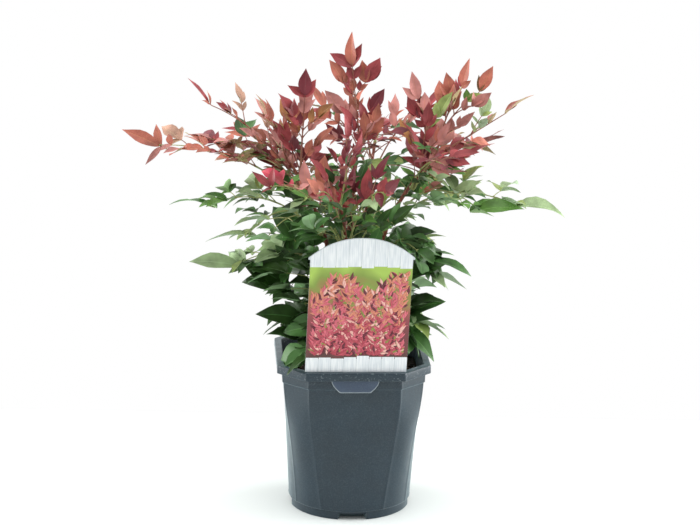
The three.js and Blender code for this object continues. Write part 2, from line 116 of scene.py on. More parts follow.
# The pocket in the lip that the label's tail stands in. Its lower corners slant over a share of
# its half width, to the power of their roundness.
POCKET = {
    "half_width": 25.0,
    "depth": 13.0,
    "slant": 0.36,
    "roundness": 0.55,
    "stand_off": 1.6,
    "half_thickness": 2.4,
    "edge_power": 0.35,
}
SOIL = {"top": 151.0, "mound": 3.0, "gap": 0.4}
LABEL = {
    "stand_off": 1.4,  # from the collar to the middle of the plate
    "width": 109.0,
    "side": 127.0,
    "arch": 22.0,
    "ear": 2.0,
    "thickness": 0.8,
    "lean": 0.03,
    "tip": 0.08,
    "tail_width": 26.0,
    "tail_length": 15.0,
    "footer": 17.0,  # height of the lower plank band
    "header": 118.0,  # where the upper plank band starts
    "plank": 13.6,
}
SHOULDER_STEP = 0.01  # how wide the upright edge under an ear is, as two stations can't share a place
PRINTED_WIDTH = 0.34  # of a printed leaf, as a share of its length
PRESSED_FLAT = 0.93  # the share of a printed leaf's relief that is taken away
# The inks of the printed leaves. The first three are dealt out by height, and the others by
# chance, over the limits that follow.
INKS = {
    "salmon": "#dc8a70", "pink": "#d86a78", "rose": "#bc4c5a", "wine": "#6a2634",
    "pale": "#f0b8ac", "leaf": "#8e9448",
}
ODD_INKS = ((0.72, 3), (0.84, 4), (0.94, 5))
CANES = {
    "main_stem": {"foot": (2, 6), "knee": (-12, 4, 300), "tip": (4, 8, 408), "radii": (4.8, 1.7)},
    "right_stem": {"foot": (15, 2), "knee": (8, 2, 330), "tip": (98, 4, 400), "radii": (3.2, 1.4)},
    "left_stem": {"foot": (-15, 4), "knee": (-10, 0, 300), "tip": (-70, -4, 385), "radii": (3.2, 1.4)},
    "back_stem": {"foot": (8, 22), "knee": (8, 30, 300), "tip": (22, 92, 388), "radii": (3.2, 1.4)},
    "front_stem": {"foot": (-3, -14), "knee": (0, -18, 270), "tip": (-14, -66, 352), "radii": (2.8, 1.3)},
}
CANE_STEPS = 7
CANE_CORNERS = 44
RIBS = 11
JOINT_SPACING = (17, 6)  # millimetres between two joints: the least, and how much more it may be
HEART = np.array([0.0, 0.0, 300.0])  # the middle of the crown

# The tiers of compound leaves. Leaflet sizes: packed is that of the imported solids, fine the real
# one, and end how much larger the outermost leaflets are on a leaf that reaches sideways. Outward
# is how far the leaflets' faces turn out from the crown. Forks is the first node, counted from the
# tip, whose twigs fork. Between is how long the twigs are that grow between two nodes. Leave_at is
# where the leaves leave their cane, as a share of it, arch how high their stalks rise, and pairs
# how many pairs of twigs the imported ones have. Lift is how far twigs point up and rise how far
# leaflets do. Droop is the range of a leaflet's bend in radians, and width its width over length.
TIERS = {
    "crest_leaf": {
        "leave_at": 0.93, "arch": 26, "pairs": 2, "packed": 37, "fine": 22, "end": 1.1, "lift": 0.5,
        "rise": 0.36, "outward": 0.42, "droop": (-0.1, 0.5), "width": 0.49,
        "stalk": "red_stalk", "twig": "red_stalk", "forks": 2, "between": 0,
    },
    "upper_leaf": {
        "leave_at": 0.86, "arch": 30, "pairs": 2, "packed": 40, "fine": 22, "end": 1.4, "lift": 0.4,
        "rise": 0.34, "outward": 0.26, "droop": (0.0, 0.7), "width": 0.38,
        "stalk": "red_stalk", "twig": "red_stalk", "forks": 2, "between": 0,
    },
    "red_leaf": {
        "leave_at": 0.76, "arch": 42, "pairs": 2, "packed": 40, "fine": 28, "end": 1.2, "lift": 0.16,
        "rise": 0.1, "outward": 0.26, "droop": (0.2, 0.9), "width": 0.42,
        "stalk": "green_stalk", "twig": "red_stalk", "forks": 2, "between": 0.8,
    },
    "green_leaf": {
        "leave_at": 0.6, "arch": 48, "pairs": 2, "packed": 47, "fine": 32, "end": 1.4, "lift": 0.1,
        "rise": 0.34, "outward": 0.2, "droop": (0.5, 1.2), "width": 0.42,
        "stalk": "green_stalk", "twig": "green_stalk", "forks": 2, "between": 0,
    },
    "low_leaf": {
        "leave_at": 0.42, "arch": 38, "pairs": 2, "packed": 48, "fine": 39, "end": 1.05, "lift": 0.0,
        "rise": 0.2, "outward": 0.8, "droop": (0.3, 1.0), "width": 0.58,
        "stalk": "green_stalk", "twig": "green_stalk", "forks": 1, "between": 0.6,
    },
    "rim_leaf": {
        "leave_at": 0.2, "arch": 30, "pairs": 1, "packed": 47, "fine": 43, "end": 1.0, "lift": -0.06,
        "rise": 0.2, "outward": 1.1, "droop": (0.2, 0.9), "width": 0.6,
        "stalk": "dark_stalk", "twig": "dark_stalk", "forks": 1, "between": 0.6,
    },
}
# The colours of leaflets from a height upwards. Colours that are named more than once are dealt
# out more often.
RECIPES = (
    (432, "brick rose blush brick rose crimson amber lime brick rose"),
    (385, "crimson rose maroon brick crimson rose leaf_green brick"),
    (362, "crimson maroon brick leaf_green lime maroon bronze dark_green"),
    (330, "pale_green bright_green lime dark_green leaf_green pale_green deep_green"),
    (285, "leaf_green dark_green bright_green dark_green leaf_green pale_green"),
    (0, "dark_green deep_green dark_green leaf_green dark_green"),
)
DEPTH_FALL = 38  # how much lower a spray counts that grows at the crown's heart
HEIGHT_SPREAD = 14  # how far a spray may count as higher or lower than it is
# Masses with colours of their own, which reach OWN_DEPTH millimetres below their tips.
OWN_DEPTH = 48
OWN_COLOURS = {
    "crest_leaf_1": "brick rose brick",
    "crest_leaf_2": "crimson brick",
    "crest_leaf_4": "brick rose",
    "crest_leaf_5": "rose brick bronze",
    "upper_leaf_1": "rose brick blush",
    "upper_leaf_2": "amber brick bronze",
    "upper_leaf_3": "brick rose",
    "upper_leaf_4": "blush pale_green rose",
    "red_leaf_1": "rose blush rose brick",
    "red_leaf_2": "rose rose leaf_green",
    "red_leaf_3": "maroon crimson rose",
    "red_leaf_4": "scarlet crimson rose",
    "red_leaf_5": "scarlet crimson brick",
    "red_leaf_6": "maroon maroon bronze",
    "red_leaf_7": "maroon crimson",
    "red_leaf_11": "crimson maroon",
    "green_leaf_1": "pale_green",
    "green_leaf_2": "bright_green",
    "green_leaf_3": "pale_green bright_green",
    "green_leaf_6": "leaf_green dark_green",
    "green_leaf_7": "leaf_green dark_green",
    "low_leaf_1": "pale_green",
    "low_leaf_3": "leaf_green dark_green",
    "low_leaf_4": "leaf_green pale_green bright_green",
    "rim_leaf_3": "dark_green leaf_green",
    "rim_leaf_4": "pale_green leaf_green",
    "rim_leaf_5": "pale_green leaf_green",
}
# The colour that a leaflet may take in place of its spray's, and how often it does.
SISTER_SHARE = 0.25
SISTERS = {
    "scarlet": "crimson", "crimson": "maroon", "rose": "brick", "brick": "crimson",
    "maroon": "crimson", "blush": "rose", "amber": "brick", "bronze": "brick",
    "lime": "bright_green", "pale_green": "lime", "bright_green": "leaf_green", "leaf_green": "dark_green",
    "dark_green": "leaf_green", "deep_green": "dark_green",
}
# The way that a stalk's first corner is turned from. No stalk runs along it.
TUBE_FACE = np.array([0.05, -0.45, 0.9]) / np.linalg.norm([0.05, -0.45, 0.9])
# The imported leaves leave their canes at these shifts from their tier's own place, as shares of
# the cane, and their stalks' arches are higher by these lifts.
TRIED_SHIFTS = (0, 0.035, -0.035, 0.07, -0.07, 0.105, -0.105)
TRIED_LIFTS = (0, 14, -12, 26)
CLEARANCE = 0.3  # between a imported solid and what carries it
CROWN_SIZE = 1.38  # of the three leaflets on a cane's own tip
STALK = {"base": 1.15, "end": 0.5, "knee": 3.0, "bend": 0.42, "stations": 34}
LEAFY = 0.86  # the share of a stalk, from its end back, that may carry twigs
STEEP = 0.75  # the cosine between a stalk and its sprays' axis from which it counts as steep
# A leaf whose tip is this near the axis, or this low, rolls its end leaflets less, and the upright
# plane of one near the axis isn't turned.
CALM = {"reach": 30, "below": 200}
TWIG = {
    "base": 0.62, "end": 0.42, "angle": 52 * DEGREE, "first_node": 0.85, "node_step": 0.95,
    "length": 0.36, "growth": 0.16, "size": 0.94, "stations": 7,
}
# On a spray: the size and place of the pair behind its end, as shares of its leaflets' size, the
# least room that the pair needs, the shortest twig, and how far the twig arches up.
SPRAY = {"pair_size": 0.8, "pair_back": 0.62, "pair_room": 3, "shortest": 5.0, "arch": 0.05}
# The two smaller twigs of a spray that forks: how far they run ahead and aside, their length as a
# share of the leaflets', their leaflets' size and their own thickness.
FORK = {"ahead": 0.62, "aside": 0.78, "reach": 0.42, "size": 0.78, "scale": 0.75}
# The short leaves along a cane: they are of each tier up to its height. Below the height of low
# they are longer and their leaflets keep their full size.
INNER_TIERS = ((245, "low_leaf"), (360, "green_leaf"), (math.inf, "red_leaf"))
INNER = {
    "count": 28, "first": 0.06, "step": 0.034, "turn": 2.4, "length": 26, "spread": 24,
    "low": 270, "low_longer": 32, "size": 0.74,
}
END_SIZE = 1.3  # of the leaflet on a twig's end
END_NARROWER = 0.3  # how much narrower the end leaflets are of a leaf that reaches sideways
FRONT_SMALLER = 0.28  # how much shorter a leaflet is that points to the front or grows there
FRONT_REACH = 180.0  # how far before the axis a leaflet grows that is smallest for growing there
SIDE = {"angle": 48 * DEGREE, "set_back": 2.0, "size": 0.82}
# Where a leaflet's rings stand, as shares of its length: closer at its base, where it widens fast.
LEAFLET_STATIONS = np.array([0, 0.05, 0.15, 0.28, 0.43, 0.58, 0.73, 0.88, 1.0])

# Each leaf colour: blade, underside, midrib, roughness and the record's slot.
LEAF_LOOKS = {
    "scarlet": ("#ac3a4a", "#b46860", "#c05852", 0.42, "leaf_red"),
    "crimson": ("#903f42", "#a0645c", "#a04c4c", 0.4, "leaf_red"),
    "rose": ("#b67a74", "#ac9878", "#c0806e", 0.45, "leaf_red"),
    "brick": ("#a86252", "#a4926c", "#b67858", 0.45, "leaf_red"),
    "maroon": ("#6c2c34", "#845450", "#784044", 0.36, "leaf_red"),
    "blush": ("#b68e7a", "#a6ac80", "#c0a284", 0.5, "leaf_red"),
    "amber": ("#ac784e", "#a6a672", "#ba9264", 0.45, "leaf_red"),
    "bronze": ("#6e5238", "#80805a", "#846e4e", 0.4, "leaf_dark"),
    "lime": ("#8a9c58", "#acbf88", "#a8bc70", 0.45, "leaf_green"),
    "pale_green": ("#8ea478", "#a4b898", "#a0b88c", 0.45, "leaf_green"),
    "bright_green": ("#608a42", "#8eac76", "#78a656", 0.38, "leaf_green"),
    "leaf_green": ("#466c38", "#7c9c70", "#5e8a4a", 0.35, "leaf_green"),
    "dark_green": ("#304a22", "#6e8a60", "#486e3c", 0.32, "leaf_dark"),
    "deep_green": ("#263b1c", "#5c7850", "#38562c", 0.32, "leaf_dark"),
}
STALK_LOOKS = {
    "red_stalk": ("#8a4038", "leaf_red"),
    "green_stalk": ("#94a05c", "leaf_green"),
    "dark_stalk": ("#5c5436", "leaf_dark"),
}

# How leaflets look: their colour, the range of their droop, their width as a share of their
# length, how far they point up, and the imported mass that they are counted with.
Look = namedtuple("Look", "colour droop width rise mass")
Leaflet = namedtuple("Leaflet", "base along face length look seed")
Stalk = namedtuple("Stalk", "path nodes kind mass")
Twig = namedtuple("Twig", "path kind scale mass")


# ---------------------------------------------------------------- numbers and arrays
def chance(seed, k=0):
    """The k-th random number of a seed, from 0 to 1: the fraction left of a large sine."""
    value = np.sin(seed * 12.9898 + k * 78.233) * 43758.5453
    return value - np.floor(value)


def jitter(seed, k, size):
    """The same from -size to +size."""
    return (2 * chance(seed, k) - 1) * size


def unit(vectors):
    """Vectors brought to length 1."""
    return vectors / np.linalg.norm(vectors, axis=-1, keepdims=True)


def turned(points, angle):
    """Points turned about the Z axis."""
    c, s = math.cos(angle), math.sin(angle)
    return points @ np.array([[c, s, 0], [-s, c, 0], [0, 0, 1]])


def around(radius, angle, height):
    """Points round the Z axis, at angles from the front."""
    places = np.broadcast_arrays(radius * np.sin(angle), -radius * np.cos(angle), height)
    return np.stack(places, -1)


def distances(path):
    """How far along a path each of its points lies."""
    return np.concatenate([[0], np.cumsum(np.linalg.norm(np.diff(path, axis=0), axis=1))])


def along_path(path, lengths, distance):
    """The points of a path at distances along it."""
    return np.stack([np.interp(distance, lengths, path[:, i]) for i in range(3)], -1)


def ripple(points, wavelength, seed, waves=14):
    """Smooth uneven relief from -1 to 1: the mean of sine waves in many directions."""
    k = np.arange(waves)
    ways = unit(np.stack([jitter(seed, k, 1), jitter(seed, k + 50, 1), jitter(seed, k + 90, 1)], -1))
    pitch = 2 * math.pi / (wavelength * (0.6 + chance(seed, k + 130)))
    phases = points @ (ways * pitch[:, None]).T + 2 * math.pi * chance(seed, k + 170)
    return np.sin(phases).mean(-1) * 2


# ---------------------------------------------------------------- meshes
def swept(rings):
    """Faces for pieces that are swept through rings: an array of piece, ring, corner and place.

    Quads join each ring to the next, and the first and last rings are capped. Corners run
    anticlockwise seen from the last ring. Returns the quads and the caps.
    """
    count, steps, corners = rings.shape[:3]
    start = (np.arange(count) * steps * corners)[:, None, None]
    low = start + (np.arange(steps - 1) * corners)[None, :, None]
    here = np.arange(corners)
    after = (here + 1) % corners
    quads = [low + here, low + after, low + after + corners, low + here + corners]
    first = start[:, 0] + here[::-1]
    last = start[:, 0] + (steps - 1) * corners + here
    return np.stack(quads, -1).reshape(-1, 4), np.concatenate([first, last])


def make_mesh(name, points, faces, slots=None, sharp=None, smooth=True):
    """A mesh from points in millimetres and arrays of faces with as many corners each.

    slots gives each face's material, and sharp(a, b) says which edges between points stay crisp.
    """
    corners = np.concatenate([face.ravel() for face in faces]).astype(np.int32)
    sizes = np.concatenate([np.full(len(face), face.shape[1]) for face in faces])
    starts = np.concatenate([[0], np.cumsum(sizes)[:-1]]).astype(np.int32)
    mesh = bpy.data.meshes.new(name)
    mesh.vertices.add(points.size // 3)
    mesh.vertices.foreach_set("co", (points.ravel() * MM).astype(np.float32))
    mesh.loops.add(len(corners))
    mesh.loops.foreach_set("vertex_index", corners)
    mesh.polygons.add(len(sizes))
    mesh.polygons.foreach_set("loop_start", starts)
    if slots is not None:
        mesh.polygons.foreach_set("material_index", np.asarray(slots, np.int32))
    mesh.update(calc_edges=True)
    mesh.polygons.foreach_set("use_smooth", np.full(len(sizes), smooth))
    if sharp is not None:
        ends = np.empty(len(mesh.edges) * 2, np.int32)
        mesh.edges.foreach_get("vertices", ends)
        crisp = mesh.attributes.new("sharp_edge", "BOOLEAN", "EDGE")
        crisp.data.foreach_set("value", sharp(*ends.reshape(-1, 2).T))
    if mesh.validate():
        raise RuntimeError(f"the mesh {name} has faces that can't stand")
    return mesh


def add_piece(name, mesh, materials, replaced=()):
    """Puts a finished mesh in the scene as a piece of the object."""
    for material in materials:
        mesh.materials.append(material)
    piece = bpy.data.objects.new(name, mesh)
    bpy.context.scene.collection.objects.link(piece)
    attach(piece, "root")
    if replaced:
        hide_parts(*replaced)
    return piece


def round_tubes(paths, radii, face, corners):
    """Rings of round tubes: paths is an array of tube, point and place, radii of tube and point.

    Each ring stands square to the path, its corners on a circle, the first to the side.
    """
    along = unit(np.gradient(paths, axis=1))
    side = unit(np.cross(np.broadcast_to(face, along.shape), along))
    up = np.cross(along, side)
    turn = (np.arange(corners) * 2 * math.pi / corners)[None, None, :, None]
    radius = radii[:, :, None, None]
    spread = np.cos(turn) * side[:, :, None] + np.sin(turn) * up[:, :, None]
    return paths[:, :, None] + radius * spread


def lumps(places, sizes, seed, flatness):
    """Rings of small uneven stones or chips: squashed balls whose corners are pushed in and out."""
    count = len(places)
    turn = np.arange(6) * math.pi / 3
    height = np.array([-0.85, -0.3, 0.35, 0.85])
    ring = np.sqrt(1 - height**2)
    k = np.arange(count)[:, None, None] * 31 + np.arange(24).reshape(4, 6)
    push = 1 + jitter(seed, k, 0.3)
    x = ring[:, None] * np.cos(turn) * push
    y = ring[:, None] * np.sin(turn) * push * 0.7
    z = height[:, None] * flatness * push
    shape = np.stack(np.broadcast_arrays(x, y, z), -1)
    spin = 2 * math.pi * chance(seed, np.arange(count) + 7000)
    tilt = jitter(seed, np.arange(count) + 9000, 0.5)
    cs, sn, ct, st = np.cos(spin), np.sin(spin), np.cos(tilt), np.sin(tilt)
    zero = np.zeros(count)
    spins = np.array([[cs, -sn, zero], [sn, cs, zero], [zero, zero, zero + 1]])
    tilts = np.array([[zero + 1, zero, zero], [zero, ct, -st], [zero, st, ct]])
    turns = np.einsum("ijn,jkn->nik", spins, tilts)
    return np.einsum("nik,nrck->nrci", turns, shape) * sizes[:, None, None, None] + places[:, None, None]


# ---------------------------------------------------------------- materials
def linear(colour):
    """An sRGB hex colour as linear red, green, blue and 1."""
    srgb = np.array([int(colour[i : i + 2], 16) / 255 for i in (1, 3, 5)])
    value = np.where(srgb <= 0.04045, srgb / 12.92, ((srgb + 0.055) / 1.055) ** 2.4)
    return (*(float(v) for v in value), 1.0)


def mixed(first, second, share):
    """A linear colour between two."""
    return tuple(a + (b - a) * share for a, b in zip(first, second))


def scaled(colour, factor):
    """A linear colour made darker or lighter."""
    return (*(min(part * factor, 1.0) for part in colour[:3]), 1.0)


def add_node(tree, kind, inputs=None, **settings):
    """Adds a shader node: settings are its properties, inputs are numbers or sockets to link."""
    node = tree.nodes.new(kind)
    for name, value in settings.items():
        setattr(node, name, value)
    for name, value in (inputs or {}).items():
        if isinstance(value, bpy.types.NodeSocket):
            tree.links.new(value, node.inputs[name])
        else:
            node.inputs[name].default_value = value
    return node


def new_material(name, finish):
    """A material with its principled shader set up. Returns it, its tree, shader and places."""
    material = bpy.data.materials.new(name)
    material.use_nodes = True
    tree = material.node_tree
    surface = tree.nodes["Principled BSDF"]
    for socket, value in finish.items():
        surface.inputs[socket].default_value = value
    places = add_node(tree, "ShaderNodeTexCoord").outputs["Object"]
    return material, tree, surface, places


def grain(tree, places, size, detail=2.0, stretch=(1, 1, 1)):
    """Noise whose spots are about size millimetres across, stretched along each axis."""
    fitted = add_node(tree, "ShaderNodeMapping", {"Vector": places, "Scale": [1 / s for s in stretch]})
    inputs = {"Vector": fitted.outputs[0], "Scale": 1 / (size * MM), "Detail": detail}
    return add_node(tree, "ShaderNodeTexNoise", inputs).outputs["Fac"]


def tinted(tree, value, stops):
    """Colours along a number: stops are (place, linear colour)."""
    node = add_node(tree, "ShaderNodeValToRGB", {"Fac": value})
    ramp = node.color_ramp
    while len(ramp.elements) < len(stops):
        ramp.elements.new(0.5)
    for element, (place, colour) in zip(ramp.elements, stops):
        element.position = place
        element.color = colour
    return node.outputs["Color"]


def blended(tree, share, first, second):
    """One colour over another by a number from 0 to 1."""
    inputs = {0: share, 6: first, 7: second}
    return add_node(tree, "ShaderNodeMix", inputs, data_type="RGBA").outputs[2]


def ranged(tree, value, low, high, to_low, to_high):
    """A number carried from one range to another."""
    inputs = {"Value": value, "From Min": low, "From Max": high, "To Min": to_low, "To Max": to_high}
    return add_node(tree, "ShaderNodeMapRange", inputs).outputs[0]


def add_relief(tree, surface, value, depth, strength=1.0):
    """Bumps of depth millimetres from a number."""
    inputs = {"Height": value, "Distance": depth * MM, "Strength": strength}
    tree.links.new(add_node(tree, "ShaderNodeBump", inputs).outputs[0], surface.inputs["Normal"])


def moulded_polypropylene(name, colour, roughness, dust_above):
    """Injection-moulded polypropylene, blue-grey with carbon black: a satin skin, faintly uneven,
    with fine dust that pales it where it is seen along the surface, and pale specks of dust that
    gather over a height in metres. The skin's fine grain and the specks are drawn coarser than
    they are, so that they show."""
    finish = {"IOR": 1.49, "Sheen Weight": 0.46, "Sheen Roughness": 0.36,
              "Sheen Tint": linear("#c8e4ec")}
    material, tree, surface, places = new_material(name, finish)
    cloud = grain(tree, places, 30, 5)
    skin = tinted(tree, cloud, [(0.3, scaled(colour, 0.9)), (0.7, scaled(colour, 1.15))])
    skin = blended(tree, ranged(tree, grain(tree, places, 1.3, 2), 0.45, 0.75, 0.0, 0.06), skin,
                   linear("#8fa3ab"))
    height = add_node(tree, "ShaderNodeSeparateXYZ", {"Vector": places}).outputs["Z"]
    settled = ranged(tree, height, dust_above, dust_above + 0.012, 0.0, 1.0)
    flecks = ranged(tree, grain(tree, places, 2.2, 3), 0.6, 0.72, 0.0, 0.55)
    share = add_node(tree, "ShaderNodeMath", {0: settled, 1: flecks}, operation="MULTIPLY").outputs[0]
    dusty = blended(tree, share, skin, linear("#8d979b"))
    tree.links.new(dusty, surface.inputs["Base Color"])
    rough = ranged(tree, grain(tree, places, 9, 3), 0.3, 0.7, roughness - 0.05, roughness + 0.08)
    tree.links.new(rough, surface.inputs["Roughness"])
    add_relief(tree, surface, grain(tree, places, 0.8, 2), 0.03, 0.4)
    return material


def potting_mix():
    """Potting mix of composted bark and peat: dark brown, damp, rough at every scale."""
    material, tree, surface, places = new_material("potting_mix", {"Roughness": 0.9})
    clods = grain(tree, places, 3.5, 6)
    colour = tinted(tree, clods, [(0.3, linear("#120d0a")), (0.5, linear("#2b2019")),
                                  (0.62, linear("#47382b")), (0.75, linear("#1d1612"))])
    tree.links.new(colour, surface.inputs["Base Color"])
    add_relief(tree, surface, clods, 1.2)
    return material


def bark_chip():
    """Chips of pine bark, dark red-brown to grey, dry on top."""
    material, tree, surface, places = new_material("pine_bark_chip", {"Roughness": 0.85})
    tone = grain(tree, places, 5, 3)
    stops = [(0.3, linear("#1e1410")), (0.5, linear("#402a1e")), (0.7, linear("#6b5744"))]
    tree.links.new(tinted(tree, tone, stops), surface.inputs["Base Color"])
    add_relief(tree, surface, grain(tree, places, 0.7, 3), 0.2)
    return material


def perlite():
    """Perlite: expanded volcanic glass, chalky off-white."""
    material, tree, surface, places = new_material("perlite", {"Roughness": 0.95})
    tone = grain(tree, places, 1.5, 2)
    stops = [(0.3, linear("#9c968a")), (0.7, linear("#dcd8cf"))]
    tree.links.new(tinted(tree, tone, stops), surface.inputs["Base Color"])
    return material


def printed_card(name, first, second, size, stretch, roughness=0.32):
    """Polypropylene card, printed and varnished: smooth, with ink in two close tones."""
    material, tree, surface, places = new_material(name, {"Roughness": roughness, "IOR": 1.49})
    tone = grain(tree, places, size, 3, stretch)
    stops = [(0.35, linear(first)), (0.65, linear(second))]
    tree.links.new(tinted(tree, tone, stops), surface.inputs["Base Color"])
    return material


def garden_print():
    """The printed picture's ground: an out-of-focus garden, green at the top, red lower down."""
    material, tree, surface, places = new_material("printed_garden", {"Roughness": 0.3, "IOR": 1.49})
    height = add_node(tree, "ShaderNodeSeparateXYZ", {"Vector": places}).outputs["Z"]
    foot, top = (POT_HEIGHT + LABEL["footer"]) * MM, (POT_HEIGHT + LABEL["header"]) * MM
    rise = ranged(tree, height, foot, top, 0.0, 1.0)
    drift = ranged(tree, grain(tree, places, 26, 1), 0.3, 0.7, -0.12, 0.12)
    share = add_node(tree, "ShaderNodeMath", {0: rise, 1: drift}, operation="ADD").outputs[0]
    stops = [(0.0, linear("#54302c")), (0.35, linear("#8c3c44")), (0.62, linear("#a2604c")),
             (0.8, linear("#80963e")), (1.0, linear("#a6c455"))]
    tree.links.new(tinted(tree, share, stops), surface.inputs["Base Color"])
    return material


def cane_bark():
    """The bark of a heavenly bamboo cane: fibrous, ribbed, red-brown with paler ridges. The fibres
    are drawn coarser than they are, so that they show."""
    material, tree, surface, places = new_material("cane_bark", {"Roughness": 0.6})
    fibres = grain(tree, places, 1.4, 4, (1, 1, 14))
    stops = [(0.28, linear("#3c1c16")), (0.5, linear("#7a3a2a")), (0.72, linear("#a2694c"))]
    tree.links.new(tinted(tree, fibres, stops), surface.inputs["Base Color"])
    add_relief(tree, surface, fibres, 0.25)
    return material


def stalk_skin(name, colour):
    """A leaf stalk's waxy skin: smooth, a little paler and darker by turns."""
    material, tree, surface, places = new_material(name, {"Roughness": 0.4})
    tone = grain(tree, places, 9, 2)
    stops = [(0.3, mixed(colour, linear("#401f18"), 0.3)), (0.7, mixed(colour, linear("#d8c69a"), 0.2))]
    tree.links.new(tinted(tree, tone, stops), surface.inputs["Base Color"])
    return material


def leaf_skin(name, colour, drift, roughness):
    """A leaflet's waxy cuticle over its tissue: a colour that drifts from leaflet to leaflet and a
    little within each, under an even satin gloss."""
    finish = {"Roughness": roughness, "IOR": 1.42, "Specular IOR Level": 0.32}
    material, tree, surface, places = new_material(name, finish)
    tone = grain(tree, places, 20, 3)
    stops = [(0.32, scaled(colour, 1 - drift)), (0.68, scaled(colour, 1 + 1.2 * drift))]
    tree.links.new(tinted(tree, tone, stops), surface.inputs["Base Color"])
    return material


# ---------------------------------------------------------------- the pot
def section(height):
    """The wall's four sizes at heights: a cubic through the stated ones."""
    basis = np.vander(np.array(SECTION_HEIGHTS) / POT_HEIGHT, 4)
    here = np.vander(np.clip(height, SECTION_HEIGHTS[0], None) / POT_HEIGHT, 4)
    return {name: here @ np.linalg.solve(basis, values) for name, values in SECTIONS.items()}


def across_panel(angle):
    """An angle round the pot as one from the middle of its own panel, -45 to 45 degrees."""
    return (angle - POT["turn"] + math.pi / 4) % (math.pi / 2) - math.pi / 4


def wall_radius(height, out, angle):
    """The pot's outline: distance from its axis at heights and at angles from the front.

    Near the top, each quarter is the least of three shapes, blended a little where they cross: a
    panel that is a shallow parabola, a round corner, and the straight flat across that corner.
    Low down it is a rounded square, whose cosine and sine to one power add up to 1, and which
    keeps the panels' and the corners' distances.
    """
    size = section(height)
    across = across_panel(angle)
    corner = (size["corner"] + out)[:, None]
    half = size["half"][:, None] * corner / size["corner"][:, None]
    chord = np.sqrt(corner**2 - half**2)
    rise = np.maximum((size["panel"] + out)[:, None] - chord, 0.01)
    curve = 4 * rise * (chord + rise) * np.sin(across) ** 2 / half**2
    panel = 2 * (chord + rise) / (np.cos(across) + np.sqrt(np.cos(across) ** 2 + curve))
    flat = (size["flat"] + out)[:, None] / np.cos(math.pi / 4 - np.abs(across))
    blend = POT["blend"]
    shapes = np.stack([panel, np.broadcast_to(corner, panel.shape), flat])
    least = shapes.min(0)
    creased = least - blend * np.log(np.exp((least - shapes) / blend).sum(0))
    middle = (size["panel"] + out)[:, None]
    power = 1 / (0.5 - np.log2(corner / middle))
    rounded = middle / (np.cos(across) ** power + np.abs(np.sin(across)) ** power) ** (1 / power)
    low, high = POT["rounded_to"], POT["creased_from"]
    share = np.clip((height - low) / (high - low), 0, 1)[:, None]
    return rounded + (creased - rounded) * share**2 * (3 - 2 * share)


def filleted(profile, radius):
    """A profile of (height, out, roundness) rows with each corner replaced by a short curve."""
    profile = np.array(profile, float)
    before, here, after = profile[:-2], profile[1:-1], profile[2:]

    def towards(there):
        """Points a radius away from each corner on the way there, but short of halfway."""
        reach = np.linalg.norm((there - here)[:, :2], axis=1, keepdims=True)
        return here + (there - here) * np.minimum(radius / np.maximum(reach, 1e-6), 0.45)

    one, two = towards(before), towards(after)
    curve = [one * (1 - t) ** 2 + here * 2 * t * (1 - t) + two * t**2 for t in (0, 0.25, 0.5, 0.75, 1)]
    return np.concatenate([profile[:1], np.stack(curve, 1).reshape(-1, 3), profile[-1:]])


def with_steps(profile, longest):
    """A profile whose long stretches are divided into even steps."""
    rows = [profile[:1]]
    for low, high in zip(profile[:-1], profile[1:]):
        steps = max(1, math.ceil(np.linalg.norm((high - low)[:2]) / longest))
        share = (np.arange(1, steps + 1) / steps)[:, None]
        rows.append(low + (high - low) * share)
    return np.concatenate(rows)


def pot_profile():
    """The pot's wall from the underside, up the outside, over the lip and down the inside.

    Each row is a height, a distance out of the wall's own outline, and 0 on the round foot or 1
    above it. On the round foot the distance is from the foot's own radius.
    """
    lip_low = POT_HEIGHT - POT["lip_height"]
    collar_low = lip_low - POT["collar_height"]
    lip_out = POT["collar_step"] + POT["lip_reach"]
    under = POT_HEIGHT - POT["lip_thickness"]
    foot = POT["foot_height"]
    outside = [
        (0, -POT["notch_depth"], 0), (0, 0, 0), (foot - 0.6, 0, 0), (foot, 1.0, 0.5),
        (foot + 1.2, 0, 1), (collar_low, 0, 1), (collar_low + 1.2, POT["collar_step"], 1),
        (under, POT["collar_step"], 1), (under, lip_out - POT["lip_thickness"], 1),
        (lip_low, lip_out - POT["lip_thickness"], 1), (lip_low, lip_out, 1),
        (POT_HEIGHT, lip_out, 1), (POT_HEIGHT, POT["collar_step"] - POT["wall"], 1),
        (collar_low, -POT["wall"], 1), (foot + 2, -POT["wall"], 1), (foot - 0.5, -POT["wall"] - 2, 1),
    ]
    return with_steps(filleted(outside, 0.8), 4.0)


def creases(height):
    """The angles from a panel's middle at which it meets the round corner, and at which that
    meets the flat across it, kept apart from each other."""
    size = section(height)
    panel = np.arcsin(size["half"] / size["corner"])
    flat = math.pi / 4 - np.arccos(np.minimum(size["flat"] / size["corner"], 1))
    return panel, np.clip(flat, panel + 3 * POT["crease"], math.pi / 4 - 2 * POT["crease"])


def grid_angles(height):
    """Angles round the pot for each height. Rows of points follow the drain notches' sides and
    the creases, with close rows over each crease to round it."""
    panel, flat = creases(height)
    wide = POT["crease"]
    zero = np.zeros_like(panel)
    stops = [zero, zero + NOTCH_ANGLE - 0.002, zero + NOTCH_ANGLE + 0.002, panel - wide, panel + wide,
             flat - wide, flat + wide, zero + math.pi / 4]
    counts = [7, 1, 7, 6, 4, 6, 5]
    rows = [low + (high - low) * k / count
            for low, high, count in zip(stops, stops[1:], counts) for k in range(count)]
    half = np.stack(rows, -1)
    corner = zero[:, None] + math.pi / 4
    quarter = np.concatenate([-corner, -half[:, :0:-1], half], -1)
    turns = np.arange(4) * math.pi / 2 + POT["turn"]
    return (turns[None, :, None] + quarter[:, None]).reshape(len(panel), -1)


